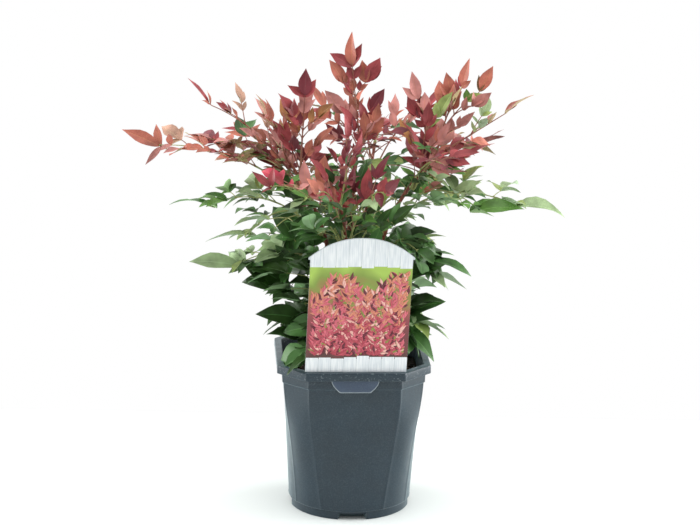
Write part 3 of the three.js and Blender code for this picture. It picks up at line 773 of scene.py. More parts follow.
def bead(height, angle):
    """How far the narrow bead on each panel's crease stands out, at heights and angles. It is
    lower on the panels at the sides."""
    panel, _ = creases(height)
    off = (np.abs(across_panel(angle)) - panel[:, None]) / POT["crease"]
    return POT["bead"] * np.exp(-(off**2)) * (0.65 + 0.35 * np.cos(2 * (angle - POT["turn"])))


def pot_rings():
    """The pot as rings of points: wall_radius along the profile, blended into the round foot.

    Between the sides of a notch the foot's lower edge is lifted, which leaves the notch open.
    """
    profile = pot_profile()
    height, out, square = profile.T
    angles = grid_angles(height)
    squared = wall_radius(height, out, angles) + bead(height, angles) * (out > -0.5)[:, None]
    rounded = (POT["foot_radius"] + out)[:, None]
    radius = rounded + (squared - rounded) * square[:, None]
    in_notch = np.abs(across_panel(angles)) < NOTCH_ANGLE
    on_foot = (square < 0.01) & (out > -POT["notch_depth"] + 0.5)
    lifted = np.maximum(height[:, None], POT["notch_height"] * (on_foot[:, None] & in_notch))
    return around(radius, angles, lifted)[None]


def pocket_rings(border, proud):
    """The pocket that holds the label's tail: a plate with slanting, rounded lower corners.

    It is swept from left to right. Each section is a rounded rectangle whose lower end follows
    the outline, border millimetres wider all round and proud of the wall.
    """
    x = np.sin(np.linspace(-1, 1, 41) * math.pi / 2)
    fall = np.clip((1 - np.abs(x)) / POCKET["slant"], 0, 1) ** POCKET["roundness"]
    low = POT_HEIGHT - POT["lip_height"] - (POCKET["depth"] + border) * fall - 0.4
    high = np.full_like(low, POT_HEIGHT - POT["lip_thickness"])
    turn = np.arange(24) * math.pi / 12
    power = POCKET["edge_power"]
    y = np.sign(np.cos(turn)) * np.abs(np.cos(turn)) ** power * POCKET["half_thickness"] - proud
    z = np.sign(np.sin(turn)) * np.abs(np.sin(turn)) ** power
    middle, half = (high + low)[:, None] / 2, (high - low)[:, None] / 2
    front = -(COLLAR_FACE + POCKET["stand_off"])
    places = [x[:, None] * (POCKET["half_width"] + border), front + y, middle + half * z]
    return turned(np.stack(np.broadcast_arrays(*places), -1), POT["turn"])[None]


# ---------------------------------------------------------------- the soil
def soil_rings():
    """The soil as rings: its underside, its side, and a low mound in shrinking, rough rings."""
    angles = np.arange(160) * 2 * math.pi / 160
    share = np.concatenate([[0.9, 0.995], np.linspace(1, 0.02, 44)])
    height = np.concatenate([[11.0, 14.0], SOIL["top"] + SOIL["mound"] * (1 - share[2:] ** 2)])
    out = np.full(len(share), -POT["wall"] - SOIL["gap"])
    radius = wall_radius(np.where(height < 20, height, SOIL["top"]), out, angles[None, :])
    radius = radius * share[:, None]
    places = around(radius, angles, height[:, None])
    rough = 1.3 * ripple(places, 14, 3) + 0.8 * ripple(places, 5, 4)
    places[3:, :, 2] += rough[3:] * np.minimum(1, (1 - share[3:, None]) * 8 + 0.3)
    return places[None]


def scattered(count, seed, top):
    """Places strewn evenly over the soil, clear of the wall."""
    k = np.arange(count)
    angle = 2 * math.pi * chance(seed, k)
    reach = np.sqrt(chance(seed, k + 3000))
    out = np.full(count, -POT["wall"] - 3.0)
    wall = wall_radius(np.full(count, SOIL["top"]), out, angle[:, None])
    radius = wall[:, 0] * reach
    height = SOIL["top"] + SOIL["mound"] * (1 - reach**2) + top
    return around(radius, angle, height)


# ---------------------------------------------------------------- the label
def label_places(x, rise, proud):
    """Points of the label from their distance right of its middle, height over its foot, and
    distance in front of its face. The plate leans to the right and tips to the front."""
    face = -(COLLAR_FACE + LABEL["stand_off"] + LABEL["thickness"] / 2)
    foot = POT_HEIGHT + CLEARANCE
    places = [x + LABEL["lean"] * rise, face - LABEL["tip"] * rise - proud, foot + rise]
    return turned(np.stack(np.broadcast_arrays(*places), -1), POT["turn"])


def label_top(x):
    """The label's upper edge over a distance from its middle: an arch between the shoulders."""
    share = np.minimum(np.abs(x) / (LABEL["width"] / 2 + LABEL["ear"]), 1)
    return LABEL["side"] + LABEL["ear"] + LABEL["arch"] * (1 - share**2.2)


def slabs(x, low, high, proud, thickness):
    """Rings of thin slabs on the label, swept from left to right between two edges.

    x, low and high are arrays of slab and station.
    """
    flat = np.stack([low, high, high, low], -1)
    deep = np.array([0, 0, thickness, thickness]) + proud
    return label_places(x[..., None], flat, deep)


def plank_band(bottom, top, seed):
    """The planks of a printed band: strips a plank wide, with ragged ends where they are free."""
    count = int(LABEL["width"] // LABEL["plank"])
    edge = -LABEL["width"] / 2 + np.arange(count) * (LABEL["width"] / count)
    x = edge[:, None] + np.linspace(0.3, LABEL["width"] / count - 0.3, 6)
    ragged = jitter(seed, np.arange(count), 1.6)[:, None]
    low = np.broadcast_to(bottom + (ragged if bottom > 1 else 0), x.shape)
    high = label_top(x) - 0.8 if top is None else np.broadcast_to(top + ragged, x.shape)
    return slabs(x, low, high, 0.05, 0.12)


def printed_sprigs(count, seed):
    """Small printed leaves: sprigs that rise and spread, each with leaves to both sides."""
    sprig = np.repeat(np.arange(count), 13)
    leaf = np.tile(np.arange(13), count)
    root_x = jitter(seed, sprig, LABEL["width"] / 2 - 8)
    crown = 82 + 14 * np.cos((root_x + 20) / 11)
    root_z = LABEL["footer"] - 12 + chance(seed, sprig + 500) * crown
    lean = jitter(seed, sprig + 900, 0.5)
    step = (leaf + 1) // 2
    hand = np.where(leaf == 0, 0, np.where(leaf % 2 == 0, 1, -1))
    up = 18 * (1 - step / 7)
    x = root_x + np.sin(lean) * up
    z = root_z + np.cos(lean) * up
    angle = lean + hand * (0.42 + 0.09 * step) + jitter(seed, leaf + sprig * 17, 0.25)
    length = 6.0 + 4.5 * chance(seed, leaf + sprig * 29)
    end_x, end_z = x + np.sin(angle) * length, z + np.cos(angle) * length
    half = LABEL["width"] / 2 - 1.2
    inside = (np.abs(end_x) < half) & (np.abs(x) < half) & (z > LABEL["footer"] + 1.5)
    inside &= (end_z > LABEL["footer"] + 1.5) & (end_z < LABEL["header"] - 2) & (z < LABEL["header"] - 4)
    return x[inside], z[inside], angle[inside], length[inside], sprig[inside], leaf[inside]


def dealt_inks(z, sprig, leaf):
    """The number of each printed leaf's ink: redder lower down, with a few odd ones."""
    warm = (z - LABEL["footer"]) / (LABEL["header"] - LABEL["footer"])
    pick = np.clip((1 - warm) * 2.4 + chance(78, sprig) * 1.9 - 0.8, 0, 2.9).astype(int)
    odd = chance(79, sprig * 13 + leaf)
    for limit, ink in ODD_INKS:
        pick = np.where(odd > limit, ink, pick)
    return pick


def printed_rings(base, ahead, face, length):
    """Printed leaves as rings: narrow leaflets with fewer stations, pressed flat on the plate by
    taking away most of each point's distance from it."""
    count = len(base)
    leaves = leaflet_rings(base, ahead, face, length, np.full(count, PRINTED_WIDTH), np.zeros(count),
                           np.full(count, 3.0), LEAFLET_STATIONS[::2])
    middle, out = base[:, None, None], face[:, None, None]
    off = ((leaves - middle) * out).sum(-1, keepdims=True)
    return leaves - off * out * PRESSED_FLAT


# ---------------------------------------------------------------- the canes
def bezier(first, second, third, share):
    """Points on the curve from the first point, bent towards the second, to the third."""
    share = np.asarray(share)[:, None]
    return first * (1 - share) ** 2 + second * 2 * share * (1 - share) + third * share**2


def cane_path(cane, share, sink=0.0):
    """A cane's middle line from its foot in the soil to its tip."""
    foot = np.array([*cane["foot"], SOIL["top"] + SOIL["mound"] + CLEARANCE - sink], float)
    return bezier(foot, np.array(cane["knee"], float), np.array(cane["tip"], float), share)


def cane_rings(cane, seed, rib_depth):
    """A cane with its ribs and its ringed joints.

    Its radius tapers. Round it a wave makes the ribs, and along it a ramp that rises to each joint
    and drops after it makes the rings that old leaf bases leave.
    """
    share = np.linspace(0, 1, 150)
    path = cane_path(cane, share, sink=4.0)
    start, end = cane["radii"]
    radius = start + (end - start) * share
    length = np.linalg.norm(np.diff(path, axis=0), axis=1).sum()
    least, more = JOINT_SPACING
    joint = share * length / (least + more * chance(seed)) + chance(seed, 1)
    ramp = (joint % 1) ** 5 * 0.22
    turn = np.arange(CANE_CORNERS) * 2 * math.pi / CANE_CORNERS
    to_the_back = np.array([0.0, 1.0, 0.0])
    rings = round_tubes(path[None], np.ones((1, len(share))), to_the_back, CANE_CORNERS)[0]
    ribs = np.sin(RIBS * turn + 0.6 * np.sin(joint[:, None] * 2.1)) * rib_depth
    rough = ripple(rings * 3, 9, seed + 5) * 0.05
    swell = radius[:, None] * (1 + ramp[:, None] + ribs + rough)
    return (path[:, None] + (rings - path[:, None]) * swell[..., None])[None]


# ---------------------------------------------------------------- the compound leaves
def node_points(name):
    """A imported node's vertices, in millimetres."""
    mesh = frame["nodes"][name].data
    flat = np.empty(len(mesh.vertices) * 3, np.float32)
    mesh.vertices.foreach_get("co", flat)
    return flat.reshape(-1, 3).astype(float) / MM


def cane_at(cane, place):
    """A cane's middle, grain and radius at a share of its length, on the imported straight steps."""
    points = cane_path(cane, np.linspace(0, 1, CANE_STEPS + 1))
    step = min(int(place * CANE_STEPS), CANE_STEPS - 1)
    middle = points[step] + (points[step + 1] - points[step]) * (place * CANE_STEPS - step)
    start, end = cane["radii"]
    return middle, unit(points[step + 1] - points[step]), start + (end - start) * place


def stalk_path(tier, cane, tip, shift, lift, crown):
    """A leaf's main stalk: it leaves its cane square, rises in an arch and runs out towards its
    tip. A crown leaf stands on the cane's own tip. Returns its start, its curve, and its end."""
    middle, along_cane, radius = cane_at(cane, 1 if crown else tier["leave_at"] + shift)
    run = tip - middle
    away = along_cane if crown else unit(run - along_cane * (run @ along_cane))
    start = middle + away * ((0 if crown else radius) + CLEARANCE)
    knee = start + away * STALK["knee"]
    end = tip - unit(tip - knee) * tier["packed"]
    bend = knee + (end - knee) * STALK["bend"] + UP * (0 if crown else tier["arch"] + lift)
    curve = bezier(knee, bend, end, np.linspace(0, 1, 25))
    return np.concatenate([[start], curve]), end


def fitted_stalk(name, tier):
    """The stalk of one packed leaf, as points.

    The leaf's tip is its point furthest from the crown's heart or from a cane's tip, and its
    stalk is the one, among those that the rule tries, that runs nearest its solid's faces. Returns
    the stalk, the tip and the size of the leaflets at its end.
    """
    points = node_points(name)
    solid = BVHTree.FromObject(frame["nodes"][name], bpy.context.evaluated_depsgraph_get())
    best = None
    for origin in [HEART, *(np.array(cane["tip"], float) for cane in CANES.values())]:
        tip = points[np.argmax(np.linalg.norm(points - origin, axis=1))]
        cane = min(CANES.values(), key=lambda c: math.dist(c["tip"][:2], tip[:2]))
        ways = [(s, l, False) for l in TRIED_LIFTS for s in TRIED_SHIFTS] + [(0, 0, True)]
        for shift, lift, crown in ways:
            path, end = stalk_path(tier, cane, tip, shift, lift, crown)
            gaps = [solid.find_nearest(place * MM)[3] for place in path[::3]]
            gap = float(np.mean(gaps))
            if best is None or gap < best[0] - 1e-6:
                best = (gap, path, end, tip, crown)
    _, path, end, tip, crown = best
    sideways = abs(unit(tip - end)[0])
    size = tier["fine"] * (CROWN_SIZE if crown else 1 + (tier["end"] - 1) * sideways)
    outermost = tip - unit(tip - end) * size * END_SIZE
    return np.concatenate([path, [outermost]]), tip, size


def walk(path, back):
    """The point and direction at a distance back from a path's end, the direction from a
    millimetre before the point to a millimetre after it."""
    lengths = distances(path)
    here = lengths[-1] - back
    before, place, after = along_path(path, lengths, [here - 1, here, here + 1])
    return place, unit(after - before)


def over_label(points):
    """Whether points are in or before the label's plate, where no leaf hangs. A point before the
    plate counts as lower by a quarter of its distance, as one who looks down on it sees it."""
    x, y, z = turned(points, -POT["turn"]).T
    rise = z - POT_HEIGHT
    face = -(COLLAR_FACE + LABEL["stand_off"]) - LABEL["tip"] * rise
    sunk = rise - 0.26 * np.maximum(face - y, 0)
    beside = np.abs(x - LABEL["lean"] * rise) > LABEL["width"] / 2 + 3
    above = sunk > label_top(x - LABEL["lean"] * rise) + 5
    return ~beside & ~above & (y < face + 4) & (rise > -12)


class Growth:
    """Gathers the leaflets and twigs of all the leaves."""

    def __init__(self, scale):
        self.scale = scale
        self.leaflets = []
        self.stalks = []
        self.twigs = []

    def leaflet(self, base, along, face, length, look):
        """Adds one leaflet, shorter if it is in front, unless it would hang over the label."""
        seed = len(self.leaflets) + 1
        ahead = unit(along + UP * look.rise)
        front = max(-ahead[1], 0) + max(-base[1], 0) / FRONT_REACH
        size = length * self.scale * (1 - FRONT_SMALLER * min(front, 1))
        reached = base + ahead * np.array([0.3, 0.65, 1.0])[:, None] * size
        if chance(seed, 8) < SISTER_SHARE:
            look = look._replace(colour=SISTERS[look.colour])
        if not over_label(reached).any():
            self.leaflets.append(Leaflet(base, ahead, unit(face), size, look, seed))

    def three(self, end, along, face, size, look, lift, seed, roll=0.55):
        """Adds the leaflet at a twig's end and the two beside it, rolled a little together."""
        face = unit(face + unit(np.cross(face, along)) * jitter(seed, 32, roll))
        self.leaflet(end, along, face, size * (END_SIZE + jitter(seed, 7, 0.12)), look)
        beside = size * (SIDE["size"] + jitter(seed, 31, 0.16))
        self.pair(end - along * SIDE["set_back"], along, face, beside, look, lift, seed)

    def pair(self, place, along, face, size, look, lift, seed):
        """Adds two leaflets, one to each side of a twig."""
        side = unit(np.cross(face, along))
        for hand, k in ((1, 10), (-1, 20)):
            angle = SIDE["angle"] + jitter(seed, k, 0.32)
            rise = UP * (lift + jitter(seed, k + 1, 0.3))
            way = along * math.cos(angle) + side * hand * math.sin(angle) + rise
            tilt = face + side * jitter(seed, k + 2, 0.5) + along * jitter(seed, k + 3, 0.35)
            self.leaflet(place, way, tilt, size * (1 + jitter(seed, k + 4, 0.28)), look)


def dealt_colour(height, depth, seed, own="", own_floor=0.0):
    """A spray's colour: that of its height, where a spray further in counts as lower, or one of
    the mass's own, down to their floor."""
    level = height - DEPTH_FALL * depth + jitter(seed, 44, HEIGHT_SPREAD)
    names = next(names for floor, names in RECIPES if level > floor)
    if own and level > own_floor and chance(seed, 41) < 1 - 0.6 * depth:
        names = own
    names = names.split()
    return names[int(chance(seed, 43) * len(names))]


def grow_spray(growth, tier, place, along, face, reach, look, seed, forks):
    """A twig to one side of a stalk, as far as its reach: three leaflets at its end, a pair
    further down, and on a long twig two smaller twigs with three leaflets each."""
    size = tier["fine"] * (TWIG["size"] + jitter(seed, 5, 0.12))
    length = max(reach - size * END_SIZE, SPRAY["shortest"])
    end = place + along * length
    middle = (place + end) / 2 + UP * SPRAY["arch"] * length
    curve = bezier(place, 2 * middle - (place + end) / 2, end, np.linspace(0, 1, TWIG["stations"]))
    growth.twigs.append(Twig(curve, tier["twig"], 1.0, look.mass))
    growth.three(end, unit(end - middle), face, size, look, tier["lift"], seed)
    back = SPRAY["pair_back"] * size
    if length - back < SPRAY["pair_room"]:
        return
    node = end - along * back
    if not forks:
        growth.pair(node, along, face, size * SPRAY["pair_size"], look, tier["lift"], seed + 0.5)
        return
    side = unit(np.cross(face, along))
    for hand in (1, -1):
        own = seed + 0.25 * hand
        rise = UP * (tier["lift"] + jitter(own, 6, 0.2))
        way = unit(along * FORK["ahead"] + side * hand * FORK["aside"] + rise)
        small = node + way * size * FORK["reach"]
        line = np.linspace(node, small, TWIG["stations"])
        growth.twigs.append(Twig(line, tier["twig"], FORK["scale"], look.mass))
        growth.three(small, way, face, size * FORK["size"], look, tier["lift"], own)


def node_places(tier, total):
    """A leaf's nodes on a stalk of a total length, as (number, distance back from its end). They
    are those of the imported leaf, carried one node further in, with nodes between them where the
    tier has such."""
    nodes = []
    for half_step in range(0, 2 * tier["pairs"] + 1, 1 if tier["between"] else 2):
        along_rule = 1 + TWIG["first_node"] + TWIG["node_step"] * half_step / 2
        back = tier["packed"] * along_rule - tier["fine"] * END_SIZE
        if back < total * LEAFY:
            nodes.append((half_step / 2, back))
    return nodes


def spray_plane(level, upright, forward, seed):
    """The side and face of the sprays at a node, in a level plane or, on a steep stalk, in an
    upright one."""
    plane = level if abs(level @ forward) < STEEP else upright
    side = unit(np.cross(plane, forward))
    return side, unit(plane + side * jitter(seed, 4, 0.4))


def grow_leaf(growth, name, number, own):
    """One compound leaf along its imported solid's stalk: three leaflets at its end, a pair behind
    them, and pairs of sprays at the rule's nodes, carried one node further in."""
    tier = TIERS[name.rsplit("_", 1)[0]]
    path, tip, end_size = fitted_stalk(name, tier)
    along = unit(tip - path[-1])
    outward = np.array([*(tip - HEART)[:2], 0.0])
    level = unit(UP + tier["outward"] * outward / (np.linalg.norm(outward) + 20) + [0, -0.12, 0])
    spin = jitter(number, 9, 1.3) if np.linalg.norm(outward) > CALM["reach"] else 0.0
    upright = unit(np.array([math.sin(spin), -math.cos(spin), 0.9]))
    nodes = node_places(tier, distances(path)[-1])
    growth.stalks.append(Stalk(path, [back for _, back in nodes], tier["stalk"], name))

    def look(place, depth, seed):
        """The look of a spray at a place, 0 deep at the tip and 1 at the crown's heart."""
        colour = dealt_colour(place[2], depth, seed, own, tip[2] - OWN_DEPTH)
        return Look(colour, tier["droop"], tier["width"], tier["rise"], name)

    _, face = spray_plane(level, upright, along, number)
    calm = outward @ outward < CALM["reach"] ** 2 or tip[2] < CALM["below"]
    end_look = look(tip, 0, number)
    end_look = end_look._replace(width=end_look.width * (1 - END_NARROWER * abs(along[0])))
    growth.three(path[-1], along, face, end_size, end_look, 0, number, roll=0.15 if calm else 0.4)
    if nodes:
        near, forward = walk(path, nodes[0][1] * 0.5)
        growth.pair(near, forward, face, tier["fine"] * 0.86, look(near, 0.1, number), tier["lift"],
                    number + 0.3)
    for i, back in nodes:
        place, forward = walk(path, back)
        for hand in (1, -1):
            seed = number * 7 + (i + 1 if hand > 0 else i + 4)
            side, face = spray_plane(level, upright, forward, seed)
            angle = TWIG["angle"] + jitter(seed, 2, 0.2)
            way = forward * math.cos(angle) + side * hand * math.sin(angle)
            way = unit(way + UP * (tier["lift"] + jitter(seed, 3, 0.16)))
            reach = tier["packed"] * (TWIG["length"] + TWIG["growth"] * i + TWIG["size"])
            if i % 1:
                reach *= tier["between"]
            depth = (i + 0.5) / (tier["pairs"] + 1.5)
            grow_spray(growth, tier, place, way, face, reach, look(place + way * reach, depth, seed),
                       seed, i >= tier["forks"])


def grow_inner(growth, cane, mass, seed):
    """Short leaves all the way up a cane, each a golden angle round from the last, that fill the
    crown's heart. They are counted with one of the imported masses."""
    for i in range(INNER["count"]):
        share = INNER["first"] + INNER["step"] * i
        middle = cane_path(cane, [share])[0]
        low = middle[2] < INNER["low"]
        turn = INNER["turn"] * i + seed
        out = np.array([math.cos(turn), math.sin(turn), 0.45 + jitter(seed + i, 1, 0.25)])
        tier = TIERS[next(name for height, name in INNER_TIERS if middle[2] < height)]
        length = INNER["length"] + INNER["spread"] * chance(seed + i, 2) + low * INNER["low_longer"]
        size = tier["fine"] * (1.0 if low else INNER["size"])
        end = middle + unit(out) * length
        bend = middle + unit(out) * length * 0.5 + UP * 7
        curve = bezier(middle, bend, end, np.linspace(0, 1, TWIG["stations"]))
        growth.twigs.append(Twig(curve, tier["twig"], 1.0, mass))
        colour = dealt_colour(end[2], 0.5, seed + i)
        look = Look(colour, tier["droop"], tier["width"], tier["rise"], mass)
        along = unit(end - bend)
        face = unit(UP + 0.3 * out + [0, -0.2, 0])
        growth.three(end, along, face, size, look, 0, seed + i)
        growth.pair(end - along * 0.5 * length, along, face, size * 0.82, look, 0, seed + i + 0.5)


def stalk_tubes(stalks):
    """Main stalks as tubes. A stalk's radius falls off from its base by a power of its length, and
    swells by a bell curve where twigs leave it and by a larger one where it leaves the cane."""
    paths, radii = [], []
    for stalk in stalks:
        lengths = distances(stalk.path)
        even = np.linspace(0, lengths[-1], STALK["stations"])
        paths.append(along_path(stalk.path, lengths, even))
        radius = STALK["end"] + (STALK["base"] - STALK["end"]) * (1 - even / lengths[-1]) ** 1.6
        for back in stalk.nodes:
            radius = radius + 0.35 * np.exp(-(((even - lengths[-1] + back) / 2.2) ** 2))
        radii.append(radius + 0.8 * np.exp(-((even / 5.0) ** 2)))
    return round_tubes(np.array(paths), np.array(radii), TUBE_FACE, 8)


def twig_tubes(twigs):
    """Twigs as tubes that taper evenly and swell where they leave their stalk."""
    places = np.array([twig.path for twig in twigs])
    share = np.linspace(0, 1, TWIG["stations"])
    thick = TWIG["base"] + (TWIG["end"] - TWIG["base"]) * share + 0.25 * np.exp(-((share * 9) ** 2))
    scale = np.array([twig.scale for twig in twigs])[:, None]
    return round_tubes(places, thick * scale, TUBE_FACE, 6)


def leaflet_rings(base, along, face, length, width, droop, seed, stations=LEAFLET_STATIONS):
    """Leaflets as rings of six corners, from base to tip.

    Along a leaflet its half width follows a sine that is widest near two fifths, and its last
    part is drawn in to a fine point. Its middle line bends down by the droop in an even arc, and
    the blade twists about that line in proportion to the distance from its base. Across, both
    halves rise from the midrib like a shallow gutter, the margin waves a little, and the blade is
    thickest at the rib, whose own narrow strip stands out below.
    """
    t = stations
    across = np.array([1, 0.045, -0.045, -1, -0.045, 0.045])
    upper = np.array([0, 1, 1, 0, -1, -1])
    rib = np.array([0, 0.2, 0.2, 0, -1, -1])
    narrow = 1 - 0.42 * np.clip((t - 0.55) / 0.45, 0, 1) ** 1.3
    outline = np.sin(math.pi * t**0.8) ** 0.85 * narrow
    half = (length * width / 2)[:, None] * outline
    half = np.sqrt(half**2 + (0.45 * (1 - t) + 0.06) ** 2)
    bend = np.where(np.abs(droop) < 0.02, 0.02, droop)[:, None] * t
    size = length[:, None]
    run = size * np.sin(bend) / bend[:, -1:]
    fall = -size * (1 - np.cos(bend)) / bend[:, -1:]
    side = unit(np.cross(face, along))[:, None]
    up = np.cross(along[:, None], side)
    along = along[:, None]
    spine = base[:, None] + along * run[..., None] + up * fall[..., None]
    lifted = along * np.sin(bend)[..., None] + up * np.cos(bend)[..., None]
    twist = jitter(seed, 5, 0.55)[:, None] * t
    sideways = side * np.cos(twist)[..., None] + lifted * np.sin(twist)[..., None]
    lifted = lifted * np.cos(twist)[..., None] - side * np.sin(twist)[..., None]
    fold = (0.12 + 0.42 * chance(seed, 6))[:, None]
    wave = 0.16 * np.sin(7 * t + 6.3 * chance(seed, 7)[:, None])
    gutter = half * fold
    edge = half * wave
    x = half[..., None] * across
    z = gutter[..., None] * np.abs(across) + edge[..., None] * across * np.abs(across)
    z = z + (0.22 * upper * (1 - np.abs(across) ** 3) + 0.16 * rib) * (1 - 0.8 * t[:, None])
    return spine[:, :, None] + sideways[:, :, None] * x[..., None] + lifted[:, :, None] * z[..., None]


def leaflet_faces(rings):
    """The faces of leaflets. A quad is drawn as two triangles that meet on the line from its first
    corner to its third. On the underside each quad starts one corner later, so that this line runs
    as on the upper face and the thin blade's two faces never cross."""
    quads, caps = swept(rings)
    under = (np.arange(len(quads)) % rings.shape[2] >= 3)[:, None]
    return np.where(under, np.roll(quads, -1, axis=1), quads), caps


def leaflet_slots(rings):
    """Each face's material: 0 the blade's upper face, 1 its underside, 2 the midrib."""
    count, steps = rings.shape[:2]
    band = [0, 2, 0, 1, 2, 1]
    return np.concatenate([np.tile(band, count * (steps - 1)), np.zeros(2 * count, int)])


def margins(rings):
    """A test for the edges that run along the margins of leaflets, which stay crisp."""
    corners = rings.shape[2]

    def sharp(a, b):
        """Whether both ends of an edge are the same margin corner of their rings."""
        return (a % corners == b % corners) & ((a % corners == 0) | (a % corners == 3))

    return sharp


def masses():
    """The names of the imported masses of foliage."""
    return sorted(name for name in frame["nodes"] if name.rsplit("_", 1)[0] in TIERS)


# ---------------------------------------------------------------- settings
class PotSettings(bpy.types.PropertyGroup):
    """What a user may change on the pot."""

    colour: bpy.props.FloatVectorProperty(
        name="Pot colour", description="Colour of the moulded plastic", subtype="COLOR", size=4,
        default=linear("#0d2431"), min=0, max=1)
    roughness: bpy.props.FloatProperty(
        name="Pot roughness", description="0 is polished, 1 is matt", subtype="FACTOR",
        default=0.36, min=0, max=1)
    dust_above: bpy.props.FloatProperty(
        name="Dust above", description="Height over which dust gathers", unit="LENGTH",
        default=0.156, min=0)


class SoilSettings(bpy.types.PropertyGroup):
    """What a user may change on the soil."""

    chips: bpy.props.IntProperty(
        name="Bark chips", description="How many chips lie on the soil", default=420, min=0)
    perlite: bpy.props.IntProperty(
        name="Perlite", description="How many pale grains lie on the soil", default=90, min=0)
    chip_size: bpy.props.FloatProperty(
        name="Chip size", description="Half length of a large chip", unit="LENGTH",
        default=0.0042, min=0.0005)


class LabelSettings(bpy.types.PropertyGroup):
    """What a user may change on the label."""

    sprigs: bpy.props.IntProperty(
        name="Printed sprigs", description="How many sprigs the picture holds", default=190, min=1)
    card: bpy.props.FloatVectorProperty(
        name="Card colour", description="Colour of the card", subtype="COLOR", size=4,
        default=linear("#ccd3d7"), min=0, max=1)


class PlantSettings(bpy.types.PropertyGroup):
    """What a user may change on the plant."""

    leaflet_scale: bpy.props.FloatProperty(
        name="Leaflet scale", description="Size of all leaflets", subtype="FACTOR",
        default=1.0, min=0.5, max=1.3)
    rib_depth: bpy.props.FloatProperty(
        name="Rib depth", description="Depth of the canes' ribs in radii", subtype="FACTOR",
        default=0.07, min=0, max=0.2)


class StageSettings(bpy.types.PropertyGroup):
    """What a user may change on the camera and lights."""

    distance: bpy.props.FloatProperty(
        name="Distance", description="From the camera to the pot's foot", unit="LENGTH", default=2.8)
    elevation: bpy.props.FloatProperty(
        name="Elevation", description="Of the camera seen from the pot's foot", subtype="ANGLE",
        default=20 * DEGREE)
    pitch: bpy.props.FloatProperty(
        name="Pitch", description="How far the camera looks down", subtype="ANGLE",
        default=14.56 * DEGREE)
    roll: bpy.props.FloatProperty(
        name="Roll", description="How far the camera leans", subtype="ANGLE", default=1.0 * DEGREE)
    lens: bpy.props.FloatProperty(
        name="Lens", description="Focal length in millimetres", default=127.9)
    key: bpy.props.FloatProperty(
        name="Key light", description="Power of the light overhead", unit="POWER", default=15.0)
    fill: bpy.props.FloatProperty(
        name="Side lights", description="Power of each light at the sides", unit="POWER", default=30.0)
    air: bpy.props.FloatProperty(
        name="Room light", description="Strength of the room's light", default=1.05)
    front: bpy.props.FloatProperty(
        name="Front light", description="Strength of the room's light from in front", default=0.4)


# ---------------------------------------------------------------- operators
class NANDINA_OT_pot(bpy.types.Operator):
    """Moulds the nursery pot with its lip, drain notches and label pocket"""

    bl_idname = "nandina.pot"
    bl_label = "Nursery pot"

    def execute(self, context):
        settings = context.scene.nandina_pot
        colour = tuple(settings.colour)
        plastic = moulded_polypropylene(
            "moulded_polypropylene", colour, settings.roughness, settings.dust_above)
        rings = pot_rings()
        mesh = make_mesh("nursery_pot", rings, swept(rings))
        add_piece("nursery_pot", mesh, [plastic], ["pot"])
        looks = {
            "label_pocket": (0.0, 0.35, mixed(colour, linear("#5a6a8c"), 0.3)),
            # The second piece is a pale rim round the pocket, wider than it and set behind it: a painted
            # highlight where the pocket's moulded edge catches the light.
            "label_pocket_painted_highlight": (0.75, 0.0, linear("#868f96")),
        }
        for name, (border, proud, tone) in looks.items():
            rings = pocket_rings(border, proud)
            mesh = make_mesh(name, rings, swept(rings))
            tab = moulded_polypropylene(name + "_polypropylene", tone, settings.roughness, 0.2)
            add_piece(name, mesh, [tab])
        return {"FINISHED"}


class NANDINA_OT_soil(bpy.types.Operator):
    """Fills the pot with potting mix, bark chips and perlite"""

    bl_idname = "nandina.soil"
    bl_label = "Potting soil"

    def execute(self, context):
        settings = context.scene.nandina_soil
        rings = soil_rings()
        mesh = make_mesh("potting_mix", rings, swept(rings))
        add_piece("potting_mix", mesh, [potting_mix()], ["soil"])
        largest = settings.chip_size / MM
        sizes = largest * (0.3 + 0.7 * chance(11, np.arange(settings.chips)))
        chips = lumps(scattered(settings.chips, 5, 0.6), sizes, 21, 0.35)
        mesh = make_mesh("bark_chips", chips, swept(chips), smooth=False)
        add_piece("bark_chips", mesh, [bark_chip()])
        sizes = 0.7 + 0.9 * chance(13, np.arange(settings.perlite))
        grains = lumps(scattered(settings.perlite, 6, 1.2), sizes, 22, 0.8)
        mesh = make_mesh("perlite_grains", grains, swept(grains), smooth=False)
        add_piece("perlite_grains", mesh, [perlite()])
        return {"FINISHED"}


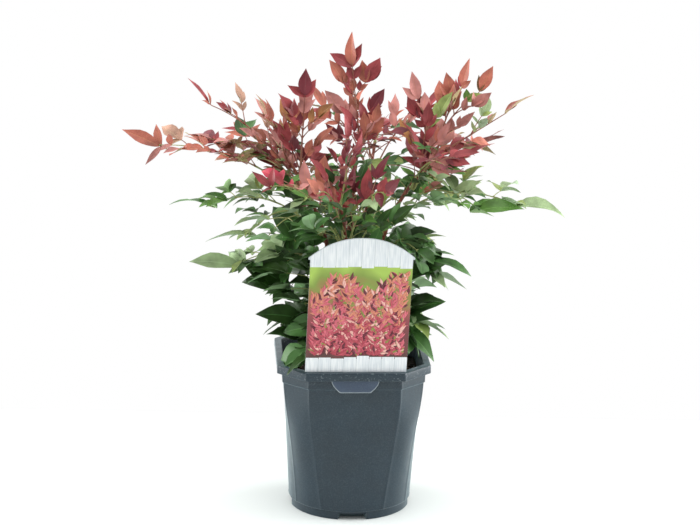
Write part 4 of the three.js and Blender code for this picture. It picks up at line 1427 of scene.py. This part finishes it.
class NANDINA_OT_label(bpy.types.Operator):
    """Makes the picture label: card, tail, plank bands, picture and printed leaves"""

    bl_idname = "nandina.label"
    bl_label = "Picture label"

    def execute(self, context):
        self.make_card(context.scene.nandina_label.card)
        planks = printed_card("printed_planks", "#d6dce1", "#eceff1", 1.6, (1, 1, 24))
        upper, lower = plank_band(LABEL["header"], None, 31), plank_band(0.4, LABEL["footer"], 32)
        bands = np.concatenate([upper, lower])
        mesh = make_mesh("label_planks", bands, swept(bands), smooth=False)
        add_piece("label_planks", mesh, [planks])
        self.make_picture(context.scene.nandina_label.sprigs)
        return {"FINISHED"}

    def make_card(self, colour):
        """The plate between its outline and the eared shoulders, and the tail in the pocket."""
        card, tree, surface, places = new_material("polypropylene_card", {"Roughness": 0.35, "IOR": 1.49})
        tone = grain(tree, places, 4, 3, (1, 1, 8))
        stops = [(0.35, mixed(tuple(colour), linear("#98a4aa"), 0.25)), (0.6, tuple(colour))]
        tree.links.new(tinted(tree, tone, stops), surface.inputs["Base Color"])
        half, ear = LABEL["width"] / 2, LABEL["ear"]
        shoulder = np.array([half, half + SHOULDER_STEP, half + ear])
        x = np.concatenate([-shoulder[::-1], np.linspace(-half + 3, half - 3, 36), shoulder])
        low = np.where(np.abs(x) > half + SHOULDER_STEP / 10, LABEL["side"], 0.0)
        plate = slabs(x[None], low[None], label_top(x)[None], -LABEL["thickness"], LABEL["thickness"])
        mesh = make_mesh("label_card", plate, swept(plate), smooth=False)
        add_piece("label_card", mesh, [card], ["label"])
        tail_x = np.array([[-1.0, 1.0]]) * LABEL["tail_width"] / 2
        deep = np.full((1, 2), -LABEL["tail_length"])
        tail = slabs(tail_x, deep, deep * 0 + 1, -LABEL["thickness"], LABEL["thickness"] * 0.98)
        mesh = make_mesh("label_tail", tail, swept(tail), smooth=False)
        add_piece("label_tail", mesh, [card])

    def make_picture(self, sprigs):
        """The picture's ground, and on it the printed leaves, in pieces of one ink each."""
        x = np.linspace(-1, 1, 30)[None] * (LABEL["width"] / 2 - 0.05)
        ground = slabs(x, x * 0 + LABEL["footer"] - 2, x * 0 + LABEL["header"] + 2, 0.0, 0.04)
        mesh = make_mesh("label_picture", ground, swept(ground), smooth=False)
        add_piece("label_picture", mesh, [garden_print()])
        x, z, angle, length, sprig, leaf = printed_sprigs(sprigs, 77)
        pick = dealt_inks(z, sprig, leaf)
        height = 0.06 + 0.02 * ((sprig * 5 + leaf) % 9)
        base = label_places(x, z, height)
        ahead = unit(label_places(x + np.sin(angle), z + np.cos(angle), height) - base)
        face = unit(np.cross(label_places(x + 1, z, 0) - label_places(x, z, 0),
                             label_places(x, z + 1, 0) - label_places(x, z, 0)))
        for i, (ink, colour) in enumerate(INKS.items()):
            mine = pick == i
            if not mine.any():
                continue
            leaves = printed_rings(base[mine], ahead[mine], face[mine], length[mine])
            material = printed_card("ink_" + ink, colour, colour, 3, (1, 1, 1))
            mesh = make_mesh("label_print_" + ink, leaves, swept(leaves))
            add_piece("label_print_" + ink, mesh, [material])


class NANDINA_OT_canes(bpy.types.Operator):
    """Raises the ribbed, ringed canes"""

    bl_idname = "nandina.canes"
    bl_label = "Canes"

    def execute(self, context):
        bark = cane_bark()
        for number, (name, cane) in enumerate(CANES.items()):
            rings = cane_rings(cane, number + 1, context.scene.nandina_plant.rib_depth)
            mesh = make_mesh(name + "_bark", rings, swept(rings))
            add_piece(name + "_bark", mesh, [bark], [name])
        return {"FINISHED"}


class NANDINA_OT_foliage(bpy.types.Operator):
    """Grows the compound leaves: stalks, twigs and leaflets, each colour a piece"""

    bl_idname = "nandina.foliage"
    bl_label = "Foliage"

    def execute(self, context):
        growth = Growth(context.scene.nandina_plant.leaflet_scale)
        for number, name in enumerate(masses()):
            grow_leaf(growth, name, number + 1, OWN_COLOURS.get(name, ""))
        for number, (name, cane) in enumerate(CANES.items()):
            grow_inner(growth, cane, masses()[number], 500 + 20 * number)
        for colour in LEAF_LOOKS:
            self.make_leaflets(growth, colour)
        for kind in STALK_LOOKS:
            self.make_stalks(growth, kind)
        return {"FINISHED"}

    def make_leaflets(self, growth, colour):
        """All leaflets of one colour as a piece: blade, underside and midrib have a slot each.
        A leaflet that points to the front droops less."""
        mine = [leaflet for leaflet in growth.leaflets if leaflet.look.colour == colour]
        if not mine:
            return
        base = np.array([leaflet.base for leaflet in mine])
        along = np.array([leaflet.along for leaflet in mine])
        face = np.array([leaflet.face for leaflet in mine])
        length = np.array([leaflet.length for leaflet in mine])
        seed = np.array([leaflet.seed for leaflet in mine], float)
        droops = np.array([leaflet.look.droop for leaflet in mine])
        flatter = 1 - 0.8 * np.clip(-along[:, 1], 0, 1)
        droop = (droops[:, 0] + (droops[:, 1] - droops[:, 0]) * chance(seed, 1)) * flatter
        width = np.array([leaflet.look.width for leaflet in mine]) * (1 + jitter(seed, 2, 0.2))
        rings = leaflet_rings(base, along, face, length, width, droop, seed)
        blade, under, rib, roughness, slot = LEAF_LOOKS[colour]
        looks = [
            leaf_skin(f"{colour}_cuticle", linear(blade), 0.35, roughness),
            leaf_skin(f"{colour}_underside", linear(under), 0.25, 0.6),
            leaf_skin(f"{colour}_midrib", linear(rib), 0.2, 0.5),
        ]
        name = f"{colour}_leaflets"
        mesh = make_mesh(name, rings, leaflet_faces(rings), leaflet_slots(rings), margins(rings))
        add_piece(name, mesh, looks, sorted({leaflet.look.mass for leaflet in mine}))

    def make_stalks(self, growth, kind):
        """All main stalks and twigs of one colour as a piece."""
        stalks = [stalk for stalk in growth.stalks if stalk.kind == kind]
        twigs = [twig for twig in growth.twigs if twig.kind == kind]
        tubes = [shape(parts) for shape, parts in ((stalk_tubes, stalks), (twig_tubes, twigs)) if parts]
        faces, offset = [], 0
        for rings in tubes:
            faces += [face + offset for face in swept(rings)]
            offset += rings.size // 3
        points = np.concatenate([rings.reshape(-1, 3) for rings in tubes])
        colour, slot = STALK_LOOKS[kind]
        mesh = make_mesh(kind + "s", points, faces)
        names = sorted({part.mass for part in stalks + twigs})
        add_piece(kind + "s", mesh, [stalk_skin(kind + "_skin", linear(colour))], names)


class NANDINA_OT_stage(bpy.types.Operator):
    """Sets the floor, the soft studio lights and the camera"""

    bl_idname = "nandina.stage"
    bl_label = "Floor, lights and camera"

    def execute(self, context):
        settings = context.scene.nandina_stage
        context.scene.view_settings.view_transform = "Standard"
        self.make_floor()
        self.make_lights(settings)
        self.make_camera(context, settings)
        return {"FINISHED"}

    def make_floor(self):
        """A pale floor, as wide as the lights reach, that ends a little behind the pot."""
        material, tree, surface, places = new_material("painted_floor", {"Roughness": 0.7})
        tone = grain(tree, places, 400, 1)
        stops = [(0.3, linear("#eaefec")), (0.7, linear("#eff4f2"))]
        tree.links.new(tinted(tree, tone, stops), surface.inputs["Base Color"])
        corners = np.array([[-1.5, -1.5, 0], [1.5, -1.5, 0], [1.5, 0.3, 0], [-1.5, 0.3, 0]]) / MM
        mesh = make_mesh("floor", corners, [np.array([[0, 1, 2, 3]])])
        mesh.materials.append(material)
        floor = bpy.data.objects.new("floor", mesh)
        bpy.context.scene.collection.objects.link(floor)

    def make_lights(self, settings):
        """A wide light overhead, one at each side, and an even white room."""
        self.add_light("key_light", (0.1, -0.3, 1.9), settings.key, 1.8)
        self.add_light("left_light", (-1.7, 0.35, 0.5), settings.fill, 1.3)
        self.add_light("right_light", (1.7, 0.35, 0.5), settings.fill * 1.2, 1.3)
        self.make_room(settings)

    def make_room(self, settings):
        """A room that is white below eye level. Above, it is dim in front and brighter behind, at
        the sides and overhead."""
        world = bpy.data.worlds.new("white_room")
        world.use_nodes = True
        tree = world.node_tree
        way = add_node(tree, "ShaderNodeTexCoord").outputs["Generated"]
        parts = add_node(tree, "ShaderNodeSeparateXYZ", {"Vector": way}).outputs
        walls = ranged(tree, parts["Y"], -0.8, 0.2, settings.front, settings.air)
        overhead = ranged(tree, parts["Z"], 0.2, 0.9, 0.0, 1.0)
        inputs = {0: overhead, 2: walls, 3: settings.air}
        upper = add_node(tree, "ShaderNodeMix", inputs, data_type="FLOAT").outputs[0]
        above = ranged(tree, parts["Z"], -0.04, 0.04, 0.0, 1.0)
        inputs = {0: above, 2: 1.0, 3: upper}
        strength = add_node(tree, "ShaderNodeMix", inputs, data_type="FLOAT").outputs[0]
        sky = tree.nodes["Background"]
        sky.inputs["Color"].default_value = (1, 1, 1, 1)
        tree.links.new(strength, sky.inputs["Strength"])
        bpy.context.scene.world = world

    def add_light(self, name, place, power, size):
        """A square soft light at a place, facing the middle of the plant."""
        light = bpy.data.lights.new(name, "AREA")
        light.energy = power
        light.size = size
        lamp = bpy.data.objects.new(name, light)
        aim = np.array([0, 0, 0.3]) - np.array(place)
        ahead = unit(aim)
        side = unit(np.cross(ahead, [0.0, 1.0, 0.02]))
        up = np.cross(side, ahead)
        turn = np.eye(4)
        turn[:3, :3] = np.stack([side, up, -ahead], -1)
        turn[:3, 3] = place
        lamp.matrix_world = Matrix(turn.tolist())
        bpy.context.scene.collection.objects.link(lamp)

    def make_camera(self, context, settings):
        """The camera: at its distance and elevation from the pot's foot, pitched, and rolled
        about its own axis. It stands a little left, so that the roll leaves the foot in place."""
        data = bpy.data.cameras.new("camera")
        data.lens = settings.lens
        camera = bpy.data.objects.new("camera", data)
        back = settings.distance * math.cos(settings.elevation)
        height = settings.distance * math.sin(settings.elevation)
        place = Matrix.Translation((-0.0033, -back, height))
        pitch = Matrix.Rotation(math.pi / 2 - settings.pitch, 4, "X")
        camera.matrix_world = place @ pitch @ Matrix.Rotation(settings.roll, 4, "Z")
        context.scene.collection.objects.link(camera)
        context.scene.camera = camera


SETTINGS = {
    "nandina_pot": PotSettings,
    "nandina_soil": SoilSettings,
    "nandina_label": LabelSettings,
    "nandina_plant": PlantSettings,
    "nandina_stage": StageSettings,
}
OPERATORS = (
    NANDINA_OT_stage,
    NANDINA_OT_pot,
    NANDINA_OT_soil,
    NANDINA_OT_label,
    NANDINA_OT_canes,
    NANDINA_OT_foliage,
)


class NANDINA_PT_builder(bpy.types.Panel):
    """Lists the builder's settings and steps"""

    bl_idname = "NANDINA_PT_builder"
    bl_label = "Heavenly bamboo"
    bl_space_type = "VIEW_3D"
    bl_region_type = "UI"
    bl_category = "Heavenly bamboo"

    def draw(self, context):
        for operator in OPERATORS:
            self.layout.operator(operator.bl_idname)
        for name, group in SETTINGS.items():
            box = self.layout.box()
            for setting in group.__annotations__:
                box.prop(getattr(context.scene, name), setting)


def register():
    """Registers the settings, the operators and the panel."""
    for name, group in SETTINGS.items():
        bpy.utils.register_class(group)
        setattr(bpy.types.Scene, name, bpy.props.PointerProperty(type=group))
    for operator in OPERATORS:
        bpy.utils.register_class(operator)
    bpy.utils.register_class(NANDINA_PT_builder)


def unregister():
    """Takes them all out again."""
    bpy.utils.unregister_class(NANDINA_PT_builder)
    for operator in reversed(OPERATORS):
        bpy.utils.unregister_class(operator)
    for name, group in reversed(SETTINGS.items()):
        delattr(bpy.types.Scene, name)
        bpy.utils.unregister_class(group)


def main():
    """Builds everything in order."""
    register()
    for operator in OPERATORS:
        group, name = operator.bl_idname.split(".")
        getattr(getattr(bpy.ops, group), name)()


if __name__ == "__main__":
    main()
